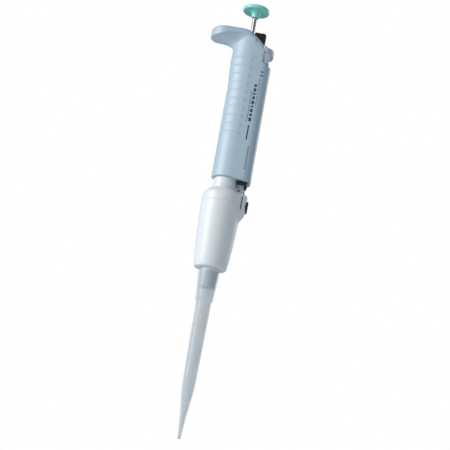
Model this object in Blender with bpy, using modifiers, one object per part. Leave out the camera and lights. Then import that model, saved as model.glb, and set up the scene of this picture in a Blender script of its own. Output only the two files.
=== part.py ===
"""Adjustable micropipette, in metres, +Z up.

The plunger axis is the Z axis and the tip's orifice is at z = 0. The finger hook points along -X,
the display and the ejector are on the +X side.
"""

import math

import bmesh
import bpy
from mathutils import Matrix, Vector

# Fits
GAP = 0.0003  # between pieces that touch or slide
LOOSE = 0.0006  # around a piece that moves freely
LEAST_FLAT = 0.000001  # points closer than this are one point

# Volume mechanism
BORE_RADIUS = 0.010
SET_VOLUME = 3.0e-6
LEAST_VOLUME = 0.5e-6
MOST_VOLUME = 5.0e-6
BLOWOUT_STROKE = 0.0035
BORE_AREA = math.pi * BORE_RADIUS**2
FIRST_STROKE = SET_VOLUME / BORE_AREA
SCREW_RISE = (MOST_VOLUME - SET_VOLUME) / BORE_AREA
SCREW_DROP = (SET_VOLUME - LEAST_VOLUME) / BORE_AREA

# Ejector mechanism
EJECT_TRAVEL = 0.008
ADJUST_TRAVEL = 0.0012

# Tip
TIP_LENGTH = 0.1375
TIP_WALL = 0.0009
TIP_END_RADIUS = 0.00146
TIP_ORIFICE_RADIUS = 0.0008
TIP_END_LENGTH = 0.0024
TIP_CONE_MIDDLE = (0.0031, 0.022)
TIP_CONE_TOP = (0.0052, 0.041)
TIP_TUBE_RADIUS = 0.00635
TIP_COLLAR_LENGTH = 0.026
TIP_STEP_HEIGHT = 0.002
TIP_STEP_RADIUS = 0.0073
TIP_RIM_RADIUS = 0.00875
TIP_RIM_HEIGHT = 0.0045
TIP_RIM_FLARE = 0.004

# Nozzle and cylinder
NOSE_ENGAGEMENT = 0.0135
NOSE_END_WALL = 0.0016
NOSE_CHANNEL_RADIUS = 0.0025
NOSE_ROOT_HEIGHT = 0.0125
CYLINDER_WALL = 0.002
BORE_LENGTH = 0.0345
BORE_FLOOR_CONE = 0.004
COLLAR_FLANGE = 0.0022
COLLAR_RADIUS = 0.010
SPIGOT_STEP = 0.0009
SPIGOT_ROOM = 0.0023
COLLAR_NUT_WALL = 0.0011
SPIGOT_WALL = 0.0013
SPIGOT_HEIGHT = 0.0065
PISTON_ROD_RADIUS = 0.0025
PISTON_LENGTH = 0.008
PISTON_FLANGE_RADIUS = 0.006
SOCKET_FLOOR = 0.003
SEAL_SECTION = 0.0016
WASHER_THICKNESS = 0.0015

# Ejector sleeve
TIP_GAP = 0.0022
SLEEVE_LENGTH = 0.0561
SLEEVE_WALL = 0.0015
SLEEVE_BOTTOM_ROOM = 0.00135
SLEEVE_MIDDLE_ROOM = 0.0044
SLEEVE_TOP_ROOM = 0.0049
SLEEVE_FLOOR = 0.0022
SLEEVE_HOLE_CLEARANCE = 0.0005
HEAD_SHOULDER_STEP = 0.0004
HEAD_SHOULDER_HEIGHT = 0.0078
HEAD_HEIGHT = 0.0122
NECK_LENGTH = 0.0095
BOSS_PROUD = 0.0036
BOSS_HALF_WIDTH = 0.0062
BOSS_DROP = 0.0142
BOSS_RISE = 0.0135
SLIT_WIDTH = 0.0010
SLIT_OFFSET = 0.0020
DIAL_RADIUS = 0.0052
DIAL_THICKNESS = 0.0028
DIAL_SUNK = 0.0016

# Grip housing
GRIP_HEIGHT = 0.1333
GRIP_HALF_DEPTH = 0.013
GRIP_LEFT = 0.0125
GRIP_NECK_SWELL = 0.0013
GRIP_FLAT_START = 0.004
GRIP_RIGHT_ROOM = 0.0029
GRIP_WALL = 0.0016
DOME_WALL = 0.0022
RIB_COUNT = 10
RIB_PITCH = 0.0075
RIB_FIRST = 0.038
RIB_PROUD = 0.0004
RIB_HALF_HEIGHT = 0.0017
HOOK_REACH = 0.0347
HOOK_THICKNESS = 0.0082
HOOK_LIP = 0.0018
HOOK_HALF_WIDTH = 0.0128
DOME_FALL = 0.0105
CORNER_LEFT = 0.0121
CORNER_LOW = 0.0285
CORNER_HIGH = 0.0235

# Cover and window
COVER_THICKNESS = 0.0019
COVER_TOP_DROP = 0.0288
WINDOW_HALF_WIDTH = 0.004
WINDOW_HEIGHT = 0.0215
PANE_THICKNESS = 0.0011

# Push button, rod and lock
ROD_RADIUS = 0.0019
BUSH_RADIUS = 0.0032
BUTTON_RADIUS = 0.01155
BUTTON_HUB_RADIUS = 0.0034
BUTTON_HUB_LENGTH = 0.0052
BUTTON_DISC = 0.0033
BUTTON_LIFT = 0.0155
CAP_RADIUS = 0.0088
CAP_DEPTH = 0.0009
LEVER_LENGTH = 0.0124
LEVER_HALF_WIDTH = 0.003
LEVER_HEIGHT = 0.0022
LEVER_SWING = math.radians(24)
LOCK_RING_RADIUS = 0.0068
STEM_HALF_WIDTH = 0.0013

# Counter and frame
GEAR_ADDENDUM = 0.72
GEAR_DEDENDUM = 1.15
GEAR_ROOM = 0.000468
DRIVE_TEETH = 30
COUNTER_TEETH = 12
GEAR_THICKNESS = 0.004
GEAR_BACKLASH = 0.00028
WHEEL_ROOM = 0.0026
WHEEL_HEIGHT = 0.006
SPINDLE_RADIUS = 0.0012
PINION_RADIUS = 0.0021
PINION_TEETH = 8
PINION_SPINDLE_RADIUS = 0.0006
PINION_LENGTH = 0.0045
PINION_OVERLAP = 0.0025
PINION_ANGLE = math.radians(245)
SCREW_RADIUS = 0.0052
SCREW_SLEEVE_RADIUS = 0.004
PLATE_THICKNESS = 0.002
FRAME_ROOM = 0.0009
RAIL_ROOM = 0.0006
RAIL_THICKNESS = 0.0009
EJECTOR_ROD_RADIUS = 0.0013
EJECTOR_ROD_RIGHT = 0.0154
EJECTOR_ROD_ROOM = 0.0033
LINK_LEFT = 0.0109
LINK_REACH = 0.0038
LINK_HALF_WIDTH = 0.0035
RACK_THICKNESS = 0.0011
LINK_FOOT = 0.003
CLIP_RADIUS = 0.0025
CLIP_THICKNESS = 0.0015
EJECTOR_SPRING_LENGTH = 0.0207

# Widths that follow from the sizes above
TIP_TUBE_TOP = (TIP_TUBE_RADIUS, TIP_LENGTH - TIP_COLLAR_LENGTH)
CYLINDER_RADIUS = BORE_RADIUS + CYLINDER_WALL
SLEEVE_BOTTOM_RADIUS = CYLINDER_RADIUS + SLEEVE_BOTTOM_ROOM
SLEEVE_MIDDLE_RADIUS = CYLINDER_RADIUS + SLEEVE_MIDDLE_ROOM
SLEEVE_TOP_RADIUS = CYLINDER_RADIUS + SLEEVE_TOP_ROOM
HEAD_SHOULDER_RADIUS = SLEEVE_TOP_RADIUS - HEAD_SHOULDER_STEP
BOSS_REACH = SLEEVE_TOP_RADIUS + BOSS_PROUD
LINK_RIGHT = CYLINDER_RADIUS + LINK_REACH
SLIT_PLACE = LINK_RIGHT + SLIT_OFFSET
GRIP_RIGHT = LINK_RIGHT + GRIP_RIGHT_ROOM
INNER_HALF_DEPTH = GRIP_HALF_DEPTH - GRIP_WALL
RAIL_INNER = INNER_HALF_DEPTH - RAIL_ROOM - RAIL_THICKNESS
FRAME_RADIUS = min(GRIP_LEFT - GRIP_WALL - FRAME_ROOM, RAIL_INNER + 0.0001)
SPIGOT_RADIUS = min(COLLAR_RADIUS - SPIGOT_STEP, INNER_HALF_DEPTH - SPIGOT_ROOM)
COLLAR_NUT_RADIUS = SPIGOT_RADIUS + COLLAR_NUT_WALL
COLLAR_BORE_RADIUS = SPIGOT_RADIUS - SPIGOT_WALL
GEAR_MODULE = (RAIL_INNER - GEAR_ROOM) / (DRIVE_TEETH / 2 + GEAR_ADDENDUM)
AXLE_PLACE = GEAR_MODULE * (DRIVE_TEETH + COUNTER_TEETH) / 2
WHEEL_RADIUS = AXLE_PLACE - SCREW_SLEEVE_RADIUS - WHEEL_ROOM
EJECTOR_ROD_PLACE = (EJECTOR_ROD_RIGHT, INNER_HALF_DEPTH - EJECTOR_ROD_ROOM)

# Heights that follow from the sizes above
TIP_TOP = TIP_LENGTH
SLEEVE_BOTTOM = TIP_TOP + TIP_GAP
SLEEVE_SEAM = SLEEVE_BOTTOM + SLEEVE_LENGTH
HEAD_SHOULDER = SLEEVE_SEAM + HEAD_SHOULDER_HEIGHT
HEAD_TOP = SLEEVE_SEAM + HEAD_HEIGHT
GRIP_BOTTOM = HEAD_TOP + NECK_LENGTH
GRIP_TOP = GRIP_BOTTOM + GRIP_HEIGHT
FLOOR_TOP = GRIP_BOTTOM + GRIP_WALL
CYLINDER_TOP = HEAD_SHOULDER - EJECT_TRAVEL - ADJUST_TRAVEL - 0.0014
BORE_BOTTOM = CYLINDER_TOP - BORE_LENGTH
SPIGOT_TOP = GRIP_BOTTOM + SPIGOT_HEIGHT
FRAME_BOTTOM = SPIGOT_TOP + GAP
PISTON_BOTTOM = BORE_BOTTOM + 0.0015 + BLOWOUT_STROKE + FIRST_STROKE
BLOWOUT_SPRING_LENGTH = 0.0094
PLATE_BOTTOM = FRAME_BOTTOM + PLATE_THICKNESS + BLOWOUT_SPRING_LENGTH + 2 * GAP
PLATE_TOP = PLATE_BOTTOM + PLATE_THICKNESS
FLANGE_BOTTOM = PLATE_TOP + FIRST_STROKE + GAP
FLANGE_THICKNESS = 0.003
FLANGE_TOP = FLANGE_BOTTOM + FLANGE_THICKNESS
STOP_BOTTOM = FLANGE_TOP + GAP
STOP_TOP = STOP_BOTTOM + PLATE_THICKNESS
SCREW_BOTTOM = STOP_TOP + GAP
NUT_BOTTOM = SCREW_BOTTOM + 0.0085
NUT_HEIGHT = 0.008
THREAD_TOP = NUT_BOTTOM + NUT_HEIGHT + SCREW_DROP + 0.0007
GEAR_BOTTOM = THREAD_TOP + SCREW_RISE + LOOSE
GEAR_TOP = GEAR_BOTTOM + GEAR_THICKNESS
WHEELS_BOTTOM = GEAR_TOP + 0.0015
WHEEL_STEP = WHEEL_HEIGHT + 0.0005
WHEELS_TOP = WHEELS_BOTTOM + 3 * WHEEL_STEP
SCREW_TOP = WHEELS_TOP - 0.002
STEM_BOTTOM = WHEELS_TOP + PLATE_THICKNESS + EJECT_TRAVEL + 0.0011

CORNER_SLOPE = (CORNER_LOW - CORNER_HIGH) / (GRIP_RIGHT - CORNER_LEFT)

MODEL = "adjustable_micropipette"


# Scene helpers


def clear_scene():
    """Removes what the scene holds."""
    for item in list(bpy.data.objects):
        bpy.data.objects.remove(item, do_unlink=True)


def new_collection(name):
    """A collection linked to the scene."""
    collection = bpy.data.collections.new(name)
    bpy.context.scene.collection.children.link(collection)
    return collection


def new_material(name, colour, roughness, metallic=0.0, alpha=1.0):
    """A plain Principled material."""
    material = bpy.data.materials.new(name)
    material.use_nodes = True
    shader = material.node_tree.nodes["Principled BSDF"]
    shader.inputs["Base Color"].default_value = (*colour, 1.0)
    shader.inputs["Roughness"].default_value = roughness
    shader.inputs["Metallic"].default_value = metallic
    shader.inputs["Alpha"].default_value = alpha
    return material


clear_scene()
PARTS = new_collection(MODEL)
CUTTERS = new_collection("cutters")

SHELL_BLUE = new_material("shell_blue", (0.46, 0.58, 0.66), 0.42)
MINT = new_material("mint_plastic", (0.24, 0.66, 0.58), 0.35)
WHITE = new_material("white_plastic", (0.85, 0.87, 0.88), 0.38)
BLACK = new_material("black_plastic", (0.012, 0.012, 0.013), 0.4)
GREY = new_material("grey_plastic", (0.35, 0.37, 0.39), 0.45)
CLEAR = new_material("clear_tip", (0.82, 0.84, 0.85), 0.25, alpha=0.45)
PANE = new_material("window_pane", (0.9, 0.93, 0.95), 0.05, alpha=0.25)
STEEL = new_material("rod_steel", (0.62, 0.61, 0.6), 0.25, 1.0)
SPRING_STEEL = new_material("spring_steel", (0.5, 0.5, 0.5), 0.3, 1.0)
BRASS = new_material("screw_brass", (0.72, 0.53, 0.25), 0.3, 1.0)
RUBBER = new_material("seal_rubber", (0.03, 0.03, 0.03), 0.7)


def add_object(name, data, material=None):
    """Links a new object to the parts, or to the cutters when it has no material."""
    item = bpy.data.objects.new(name, data)
    if material is None:
        CUTTERS.objects.link(item)
        item.hide_render = True
        item.display_type = "WIRE"
    else:
        PARTS.objects.link(item)
        data.materials.append(material)
    return item


def smooth(mesh, angle=35):
    """Shades a mesh smooth, with its steep edges sharp."""
    mesh.shade_smooth()
    mesh.set_sharp_from_angle(angle=math.radians(angle))


def lathe(name, profile, material=None, segments=32, at=(0, 0, 0), closed=True):
    """Turns a profile of (radius, height) points about Z. The points run down the outer side.

    A closed profile is a ring that stays clear of the axis. An open one starts and ends on it.
    """
    mesh = bpy.data.meshes.new(name)
    points = [(radius, 0, height) for radius, height in profile]
    edges = [(i, i + 1) for i in range(len(points) - 1)]
    if closed:
        edges.append((len(points) - 1, 0))
    mesh.from_pydata(points, edges, [])
    item = add_object(name, mesh, material)
    item.location = at
    turn = item.modifiers.new("turn", "SCREW")
    turn.steps = segments
    turn.render_steps = segments
    turn.use_merge_vertices = True
    turn.merge_threshold = LEAST_FLAT
    turn.use_smooth_shade = True
    return item


def ring(name, inner, outer, low, high, material=None, segments=28, at=(0, 0, 0)):
    """A plain ring or bush."""
    profile = [(outer, high), (outer, low), (inner, low), (inner, high)]
    return lathe(name, profile, material, segments, at)


def rod(name, radius, low, high, material=None, segments=24, at=(0, 0, 0)):
    """A plain round bar along Z, as a capped cone of even radius."""
    mesh = bpy.data.meshes.new(name)
    work = bmesh.new()
    place = Matrix.Translation((at[0], at[1], (low + high) / 2))
    bmesh.ops.create_cone(
        work,
        cap_ends=True,
        segments=segments,
        radius1=radius,
        radius2=radius,
        depth=high - low,
        matrix=place,
    )
    work.to_mesh(mesh)
    work.free()
    smooth(mesh)
    return add_object(name, mesh, material)


def box(name, low, high, material=None):
    """A box between two corners."""
    mesh = bpy.data.meshes.new(name)
    work = bmesh.new()
    low, high = Vector(low), Vector(high)
    size = high - low
    place = Matrix.Translation((low + high) / 2) @ Matrix.Diagonal((*size, 1))
    bmesh.ops.create_cube(work, size=1, matrix=place)
    work.to_mesh(mesh)
    work.free()
    return add_object(name, mesh, material)


def prism(name, outlines, thickness, material=None, matrix=Matrix()):
    """A flat outline in local XY, with holes, as a solid centred on its plane."""
    curve = bpy.data.curves.new(name + "_outline", "CURVE")
    curve.dimensions = "2D"
    curve.fill_mode = "BOTH"
    curve.extrude = thickness / 2
    for outline in outlines:
        spline = curve.splines.new("POLY")
        spline.points.add(len(outline) - 1)
        for point, (x, y) in zip(spline.points, outline):
            point.co = (x, y, 0, 1)
        spline.use_cyclic_u = True
    return mesh_of(name, curve, material, matrix)


def mesh_of(name, curve, material, matrix=Matrix()):
    """A curve made a mesh with its caps welded."""
    guide = bpy.data.objects.new(name + "_guide", curve)
    bpy.context.scene.collection.objects.link(guide)
    seen = guide.evaluated_get(bpy.context.evaluated_depsgraph_get())
    mesh = bpy.data.meshes.new_from_object(seen)
    bpy.data.objects.remove(guide, do_unlink=True)
    bpy.data.curves.remove(curve)
    work = bmesh.new()
    work.from_mesh(mesh)
    bmesh.ops.remove_doubles(work, verts=work.verts, dist=LEAST_FLAT)
    bmesh.ops.recalc_face_normals(work, faces=work.faces)
    work.to_mesh(mesh)
    work.free()
    mesh.materials.clear()
    mesh.transform(matrix)
    smooth(mesh)
    mesh.name = name
    return add_object(name, mesh, material)


def plan_prism(name, outlines, low, high, material=None):
    """An XY outline between two heights."""
    return prism(name, outlines, high - low, material, Matrix.Translation((0, 0, (low + high) / 2)))


def side_prism(name, outline, half_width, material=None, turn=0.0, middle=0.0):
    """An XZ outline as wide as two half widths in Y, turned about the plunger axis."""
    stand = Matrix.Rotation(math.pi / 2, 4, "X")
    place = Matrix.Rotation(turn, 4, "Z") @ Matrix.Translation((0, middle, 0)) @ stand
    return prism(name, [outline], 2 * half_width, material, place)


def loft(name, sections, material=None):
    """A closed skin over like sections of (x, y, z) points, from the lowest to the highest."""
    mesh = bpy.data.meshes.new(name)
    work = bmesh.new()
    rows = [[work.verts.new(point) for point in section] for section in sections]
    count = len(rows[0])
    for below, above in zip(rows, rows[1:]):
        for i in range(count):
            j = (i + 1) % count
            work.faces.new((below[i], below[j], above[j], above[i]))
    work.faces.new(rows[0][::-1])
    work.faces.new(rows[-1])
    bmesh.ops.recalc_face_normals(work, faces=work.faces)
    work.to_mesh(mesh)
    work.free()
    smooth(mesh, 25)
    return add_object(name, mesh, material)


def combine(target, other, operation):
    """Adds a Boolean modifier."""
    step = target.modifiers.new(other.name, "BOOLEAN")
    step.operation = operation
    step.solver = "EXACT"
    step.object = other
    return target


def cut(target, *cutters):
    """Takes the cutters out of the target."""
    for cutter in cutters:
        combine(target, cutter, "DIFFERENCE")
    return target


def join(target, *others):
    """Joins the others to the target."""
    for other in others:
        combine(target, other, "UNION")
    return target


def arc(centre, radius, start, end, steps):
    """Points on an arc, with angles in degrees."""
    points = []
    for i in range(steps + 1):
        angle = math.radians(start + (end - start) * i / steps)
        points.append((centre[0] + radius * math.cos(angle), centre[1] + radius * math.sin(angle)))
    return points


def circle(centre, radius, steps=32):
    """Points around a circle."""
    return arc(centre, radius, 0, 360 * (steps - 1) / steps, steps - 1)


def coil(name, radius, wire, low, high, turns, material, at=(0, 0)):
    """A compression spring as a swept wire."""
    per_turn = 10
    steps = int(turns * per_turn)
    curve = bpy.data.curves.new(name + "_wire", "CURVE")
    curve.dimensions = "3D"
    curve.bevel_depth = wire
    curve.bevel_resolution = 2
    curve.use_fill_caps = True
    spline = curve.splines.new("POLY")
    spline.points.add(steps)
    start, rise = low + wire, high - low - 2 * wire
    for i, point in enumerate(spline.points):
        angle = 2 * math.pi * i / per_turn
        x = at[0] + radius * math.cos(angle)
        y = at[1] + radius * math.sin(angle)
        point.co = (x, y, start + rise * i / steps, 1)
    return mesh_of(name, curve, material)


def gear_outline(centre, teeth, module, phase):
    """A gear's outline with straight-sided teeth. The phase is the angle of the first tooth."""
    pitch = module * teeth / 2
    tip, root = pitch + GEAR_ADDENDUM * module, pitch - GEAR_DEDENDUM * module
    half_pitch_angle = (math.pi * module / 2 - GEAR_BACKLASH) / 2 / pitch
    half_tip = half_pitch_angle - GEAR_ADDENDUM * module * math.tan(math.radians(22)) / tip
    half_root = half_pitch_angle + GEAR_DEDENDUM * module * math.tan(math.radians(16)) / root
    points = []
    for i in range(teeth):
        middle = phase + 2 * math.pi * i / teeth
        for reach, offset in ((root, -half_root), (tip, -half_tip), (tip, half_tip), (root, half_root)):
            angle = middle + offset
            points.append((centre[0] + reach * math.cos(angle), centre[1] + reach * math.sin(angle)))
    return points


def pivot(name, at, *pieces):
    """An empty on a joint's axis that carries the pieces that move on it."""
    empty = bpy.data.objects.new(name, None)
    empty.location = at
    PARTS.objects.link(empty)
    for piece in pieces:
        piece.parent = empty
        piece.matrix_parent_inverse = Matrix.Translation(-Vector(at))
    return empty


# Tip


def tip_radius(height):
    """The tip's outer radius over its collar, at a height near its top."""
    step_top = TIP_TUBE_TOP[1] + TIP_STEP_HEIGHT
    flare_bottom = TIP_TOP - TIP_RIM_HEIGHT - TIP_RIM_FLARE
    share = (height - step_top) / (flare_bottom - step_top)
    return TIP_STEP_RADIUS + share * (TIP_RIM_RADIUS - 0.00045 - TIP_STEP_RADIUS)


def build_tip():
    """The disposable tip: a cone, a long tube, a step and a collar with a rim."""
    step_top = TIP_TUBE_TOP[1] + TIP_STEP_HEIGHT
    flare_bottom = TIP_TOP - TIP_RIM_HEIGHT - TIP_RIM_FLARE
    rim_bottom = TIP_TOP - TIP_RIM_HEIGHT
    outer = [
        (TIP_RIM_RADIUS, TIP_TOP),
        (TIP_RIM_RADIUS, rim_bottom),
        (tip_radius(flare_bottom), flare_bottom),
        (TIP_STEP_RADIUS, step_top),
        TIP_TUBE_TOP,
        TIP_CONE_TOP,
        TIP_CONE_MIDDLE,
        (TIP_END_RADIUS, TIP_END_LENGTH),
        (TIP_END_RADIUS, 0),
    ]
    inner = [(TIP_ORIFICE_RADIUS, 0), (TIP_ORIFICE_RADIUS, TIP_END_LENGTH)]
    for radius, height in (TIP_CONE_MIDDLE, TIP_CONE_TOP, TIP_TUBE_TOP):
        inner.append((radius - TIP_WALL, height + TIP_WALL / 2))
    inner.append((TIP_STEP_RADIUS - TIP_WALL, step_top + TIP_WALL / 2))
    inner.append((TIP_RIM_RADIUS - TIP_WALL, TIP_TOP))
    return lathe("pipette_tip", outer + inner, CLEAR, 28)


# Cylinder, collar and piston


def build_cylinder():
    """The nose cone and the cylinder in one piece."""
    nose_bottom = TIP_TOP - NOSE_ENGAGEMENT
    nose_root = TIP_TOP + NOSE_ROOT_HEIGHT
    rim_inner = TIP_RIM_RADIUS - TIP_WALL
    top_radius = rim_inner - GAP
    bottom_radius = tip_radius(nose_bottom) - TIP_WALL - 2 * GAP
    outer = CYLINDER_RADIUS
    profile = [
        (outer, CYLINDER_TOP),
        (outer, BORE_BOTTOM),
        (top_radius, nose_root),
        (top_radius, TIP_TOP),
        (bottom_radius, nose_bottom + 0.001),
        (bottom_radius - 0.0006, nose_bottom),
        (NOSE_CHANNEL_RADIUS, nose_bottom),
        (NOSE_CHANNEL_RADIUS, BORE_BOTTOM - BORE_FLOOR_CONE),
        (BORE_RADIUS, BORE_BOTTOM),
        (BORE_RADIUS, CYLINDER_TOP),
    ]
    return lathe("nozzle_cylinder", profile, WHITE, 30)


def build_collar():
    """The neck: a flange over the cylinder, a tube, and a spigot into the housing."""
    low = CYLINDER_TOP + GAP
    flange_top = low + COLLAR_FLANGE
    floor_top = flange_top + PLATE_THICKNESS
    profile = [
        (SPIGOT_RADIUS, SPIGOT_TOP),
        (SPIGOT_RADIUS, GRIP_BOTTOM - GAP),
        (COLLAR_RADIUS, GRIP_BOTTOM - GAP),
        (COLLAR_RADIUS, flange_top),
        (CYLINDER_RADIUS, flange_top),
        (CYLINDER_RADIUS, low),
        (PISTON_ROD_RADIUS + GAP, low),
        (PISTON_ROD_RADIUS + GAP, floor_top),
        (COLLAR_BORE_RADIUS, floor_top),
        (COLLAR_BORE_RADIUS, SPIGOT_TOP),
    ]
    collar = lathe("cylinder_collar", profile, WHITE, 30)
    nut_low, nut_high = FLOOR_TOP + GAP, SPIGOT_TOP - GAP
    ring("collar_nut", SPIGOT_RADIUS + GAP, COLLAR_NUT_RADIUS, nut_low, nut_high, GREY, 32)
    return collar, floor_top


def build_piston(spring_floor):
    """The piston with its seal and rod, and the main spring."""
    top = PISTON_BOTTOM + PISTON_LENGTH
    head = BORE_RADIUS - 2 * GAP
    groove = head - SEAL_SECTION
    middle = PISTON_BOTTOM + PISTON_LENGTH / 2
    half = SEAL_SECTION / 2 + GAP
    socket = PISTON_ROD_RADIUS + GAP
    socket_floor = PISTON_BOTTOM + SOCKET_FLOOR
    profile = [
        (socket, top),
        (head, top),
        (head, middle + half),
        (groove, middle + half),
        (groove, middle - half),
        (head, middle - half),
        (head, PISTON_BOTTOM),
        (0, PISTON_BOTTOM),
    ]
    profile = [(0, socket_floor), (socket, socket_floor)] + profile
    piston = lathe("piston", profile, WHITE, 30, closed=False)
    seal_low, seal_high = middle - SEAL_SECTION / 2, middle + SEAL_SECTION / 2
    seal = ring("piston_seal", groove + GAP, BORE_RADIUS - GAP, seal_low, seal_high, RUBBER, 30)
    rod_profile = [
        (0, FLANGE_TOP),
        (PISTON_FLANGE_RADIUS, FLANGE_TOP),
        (PISTON_FLANGE_RADIUS, FLANGE_BOTTOM),
        (PISTON_ROD_RADIUS, FLANGE_BOTTOM),
        (PISTON_ROD_RADIUS, socket_floor + GAP),
        (0, socket_floor + GAP),
    ]
    piston_rod = lathe("piston_rod", rod_profile, STEEL, 24, closed=False)
    washer_top = SPIGOT_TOP - SCREW_RISE - GAP
    washer_low = washer_top - WASHER_THICKNESS
    washer_radius = COLLAR_BORE_RADIUS - 2 * GAP
    washer = ring("spring_washer", socket, washer_radius, washer_low, washer_top, STEEL, 24)
    coil_radius = COLLAR_BORE_RADIUS - 0.0022
    low, high = spring_floor + GAP, washer_low - GAP
    spring = coil("return_spring", coil_radius, 0.0005, low, high, 5, SPRING_STEEL)
    pivot("plunger_slide", (0, 0, PISTON_BOTTOM), piston, seal, piston_rod, washer)
    pivot("plunger_height_slide", (0, 0, spring_floor), spring)


def build_blowout():
    """The blow-out plate on its stiff spring."""
    radius = FRAME_RADIUS - 0.0012
    hole = PISTON_ROD_RADIUS + LOOSE
    plate = ring("blowout_plate", hole, radius, PLATE_BOTTOM, PLATE_TOP, STEEL, 32)
    seat = FRAME_BOTTOM + PLATE_THICKNESS + GAP
    spring = coil("blowout_spring", 0.007, 0.0006, seat, PLATE_BOTTOM - GAP, 4, SPRING_STEEL)
    pivot("blowout_slide", (0, 0, PLATE_BOTTOM), plate, spring)


# Volume screw, gears and counter


def build_screw():
    """The volume screw, the ring under it and its nut."""
    bore = ROD_RADIUS + GAP
    profile = [
        (SCREW_SLEEVE_RADIUS, SCREW_TOP),
        (SCREW_SLEEVE_RADIUS, THREAD_TOP),
        (SCREW_RADIUS, THREAD_TOP),
        (SCREW_RADIUS, SCREW_BOTTOM),
        (bore, SCREW_BOTTOM),
        (bore, SCREW_TOP),
    ]
    screw = lathe("volume_screw", profile, BRASS, 28)
    stop = ring("stop_ring", bore, 0.0064, STOP_BOTTOM, STOP_TOP, STEEL, 28)
    nut_top = NUT_BOTTOM + NUT_HEIGHT
    nut_outline = circle((0, 0), 0.0085, 6)
    nut_bore = circle((0, 0), SCREW_RADIUS + GAP, 28)
    plan_prism("screw_nut", [nut_outline, nut_bore], NUT_BOTTOM, nut_top, BRASS)
    pivot("screw_travel_slide", (0, 0, STOP_BOTTOM), stop)
    pivot("screw_turn_axis", (0, 0, SCREW_BOTTOM), screw)


def build_counter():
    """The gear pair, the number wheels, the pinions and their spindles."""
    axle = (AXLE_PLACE, 0)
    drive_bore = circle((0, 0), SCREW_SLEEVE_RADIUS + GAP, 28)
    drive_teeth = gear_outline((0, 0), DRIVE_TEETH, GEAR_MODULE, 0)
    drive = plan_prism("drive_gear", [drive_teeth, drive_bore], GEAR_BOTTOM, GEAR_TOP, BRASS)
    counter_teeth = gear_outline(axle, COUNTER_TEETH, GEAR_MODULE, math.pi / COUNTER_TEETH)
    bore = circle(axle, SPINDLE_RADIUS + GAP, 16)
    counter = plan_prism("counter_gear", [counter_teeth, bore], GEAR_BOTTOM, GEAR_TOP, WHITE)
    pivot("drive_gear_axis", (0, 0, GEAR_BOTTOM), drive)
    at = (*axle, 0)
    carried = [[counter], [], []]
    names = ("hundredths_wheel", "tenths_wheel", "units_wheel")
    for i, name in enumerate(names):
        low = WHEELS_BOTTOM + i * WHEEL_STEP
        hole = SPINDLE_RADIUS + GAP
        wheel = ring(name, hole, WHEEL_RADIUS, low, low + WHEEL_HEIGHT, WHITE, 30, at)
        pivot(name + "_axis", (*axle, low), wheel, *carried[i])
    spindle_low = GEAR_BOTTOM - PLATE_THICKNESS - 2 * GAP
    spindle_high = WHEELS_TOP + PLATE_THICKNESS
    rod("counter_spindle", SPINDLE_RADIUS, spindle_low, spindle_high, STEEL, 16, at)
    place = pinion_place()
    for i, name in enumerate(("lower_pinion", "upper_pinion")):
        low = WHEELS_BOTTOM + (i + 1) * WHEEL_STEP - PINION_OVERLAP
        module = 2 * (PINION_RADIUS - 0.0003) / PINION_TEETH
        teeth = gear_outline(place, PINION_TEETH, module, 0)
        hole = circle(place, PINION_SPINDLE_RADIUS + GAP, 12)
        pinion = plan_prism(name, [teeth, hole], low, low + PINION_LENGTH, GREY)
        pivot(name + "_axis", (*place, low), pinion)
    at = (*place, 0)
    rod("pinion_spindle", PINION_SPINDLE_RADIUS, spindle_low, spindle_high, STEEL, 12, at)


def pinion_place():
    """The pinions' axis beside the wheels."""
    reach = WHEEL_RADIUS + PINION_RADIUS + 2 * GAP
    return (AXLE_PLACE + reach * math.cos(PINION_ANGLE), reach * math.sin(PINION_ANGLE))


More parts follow.
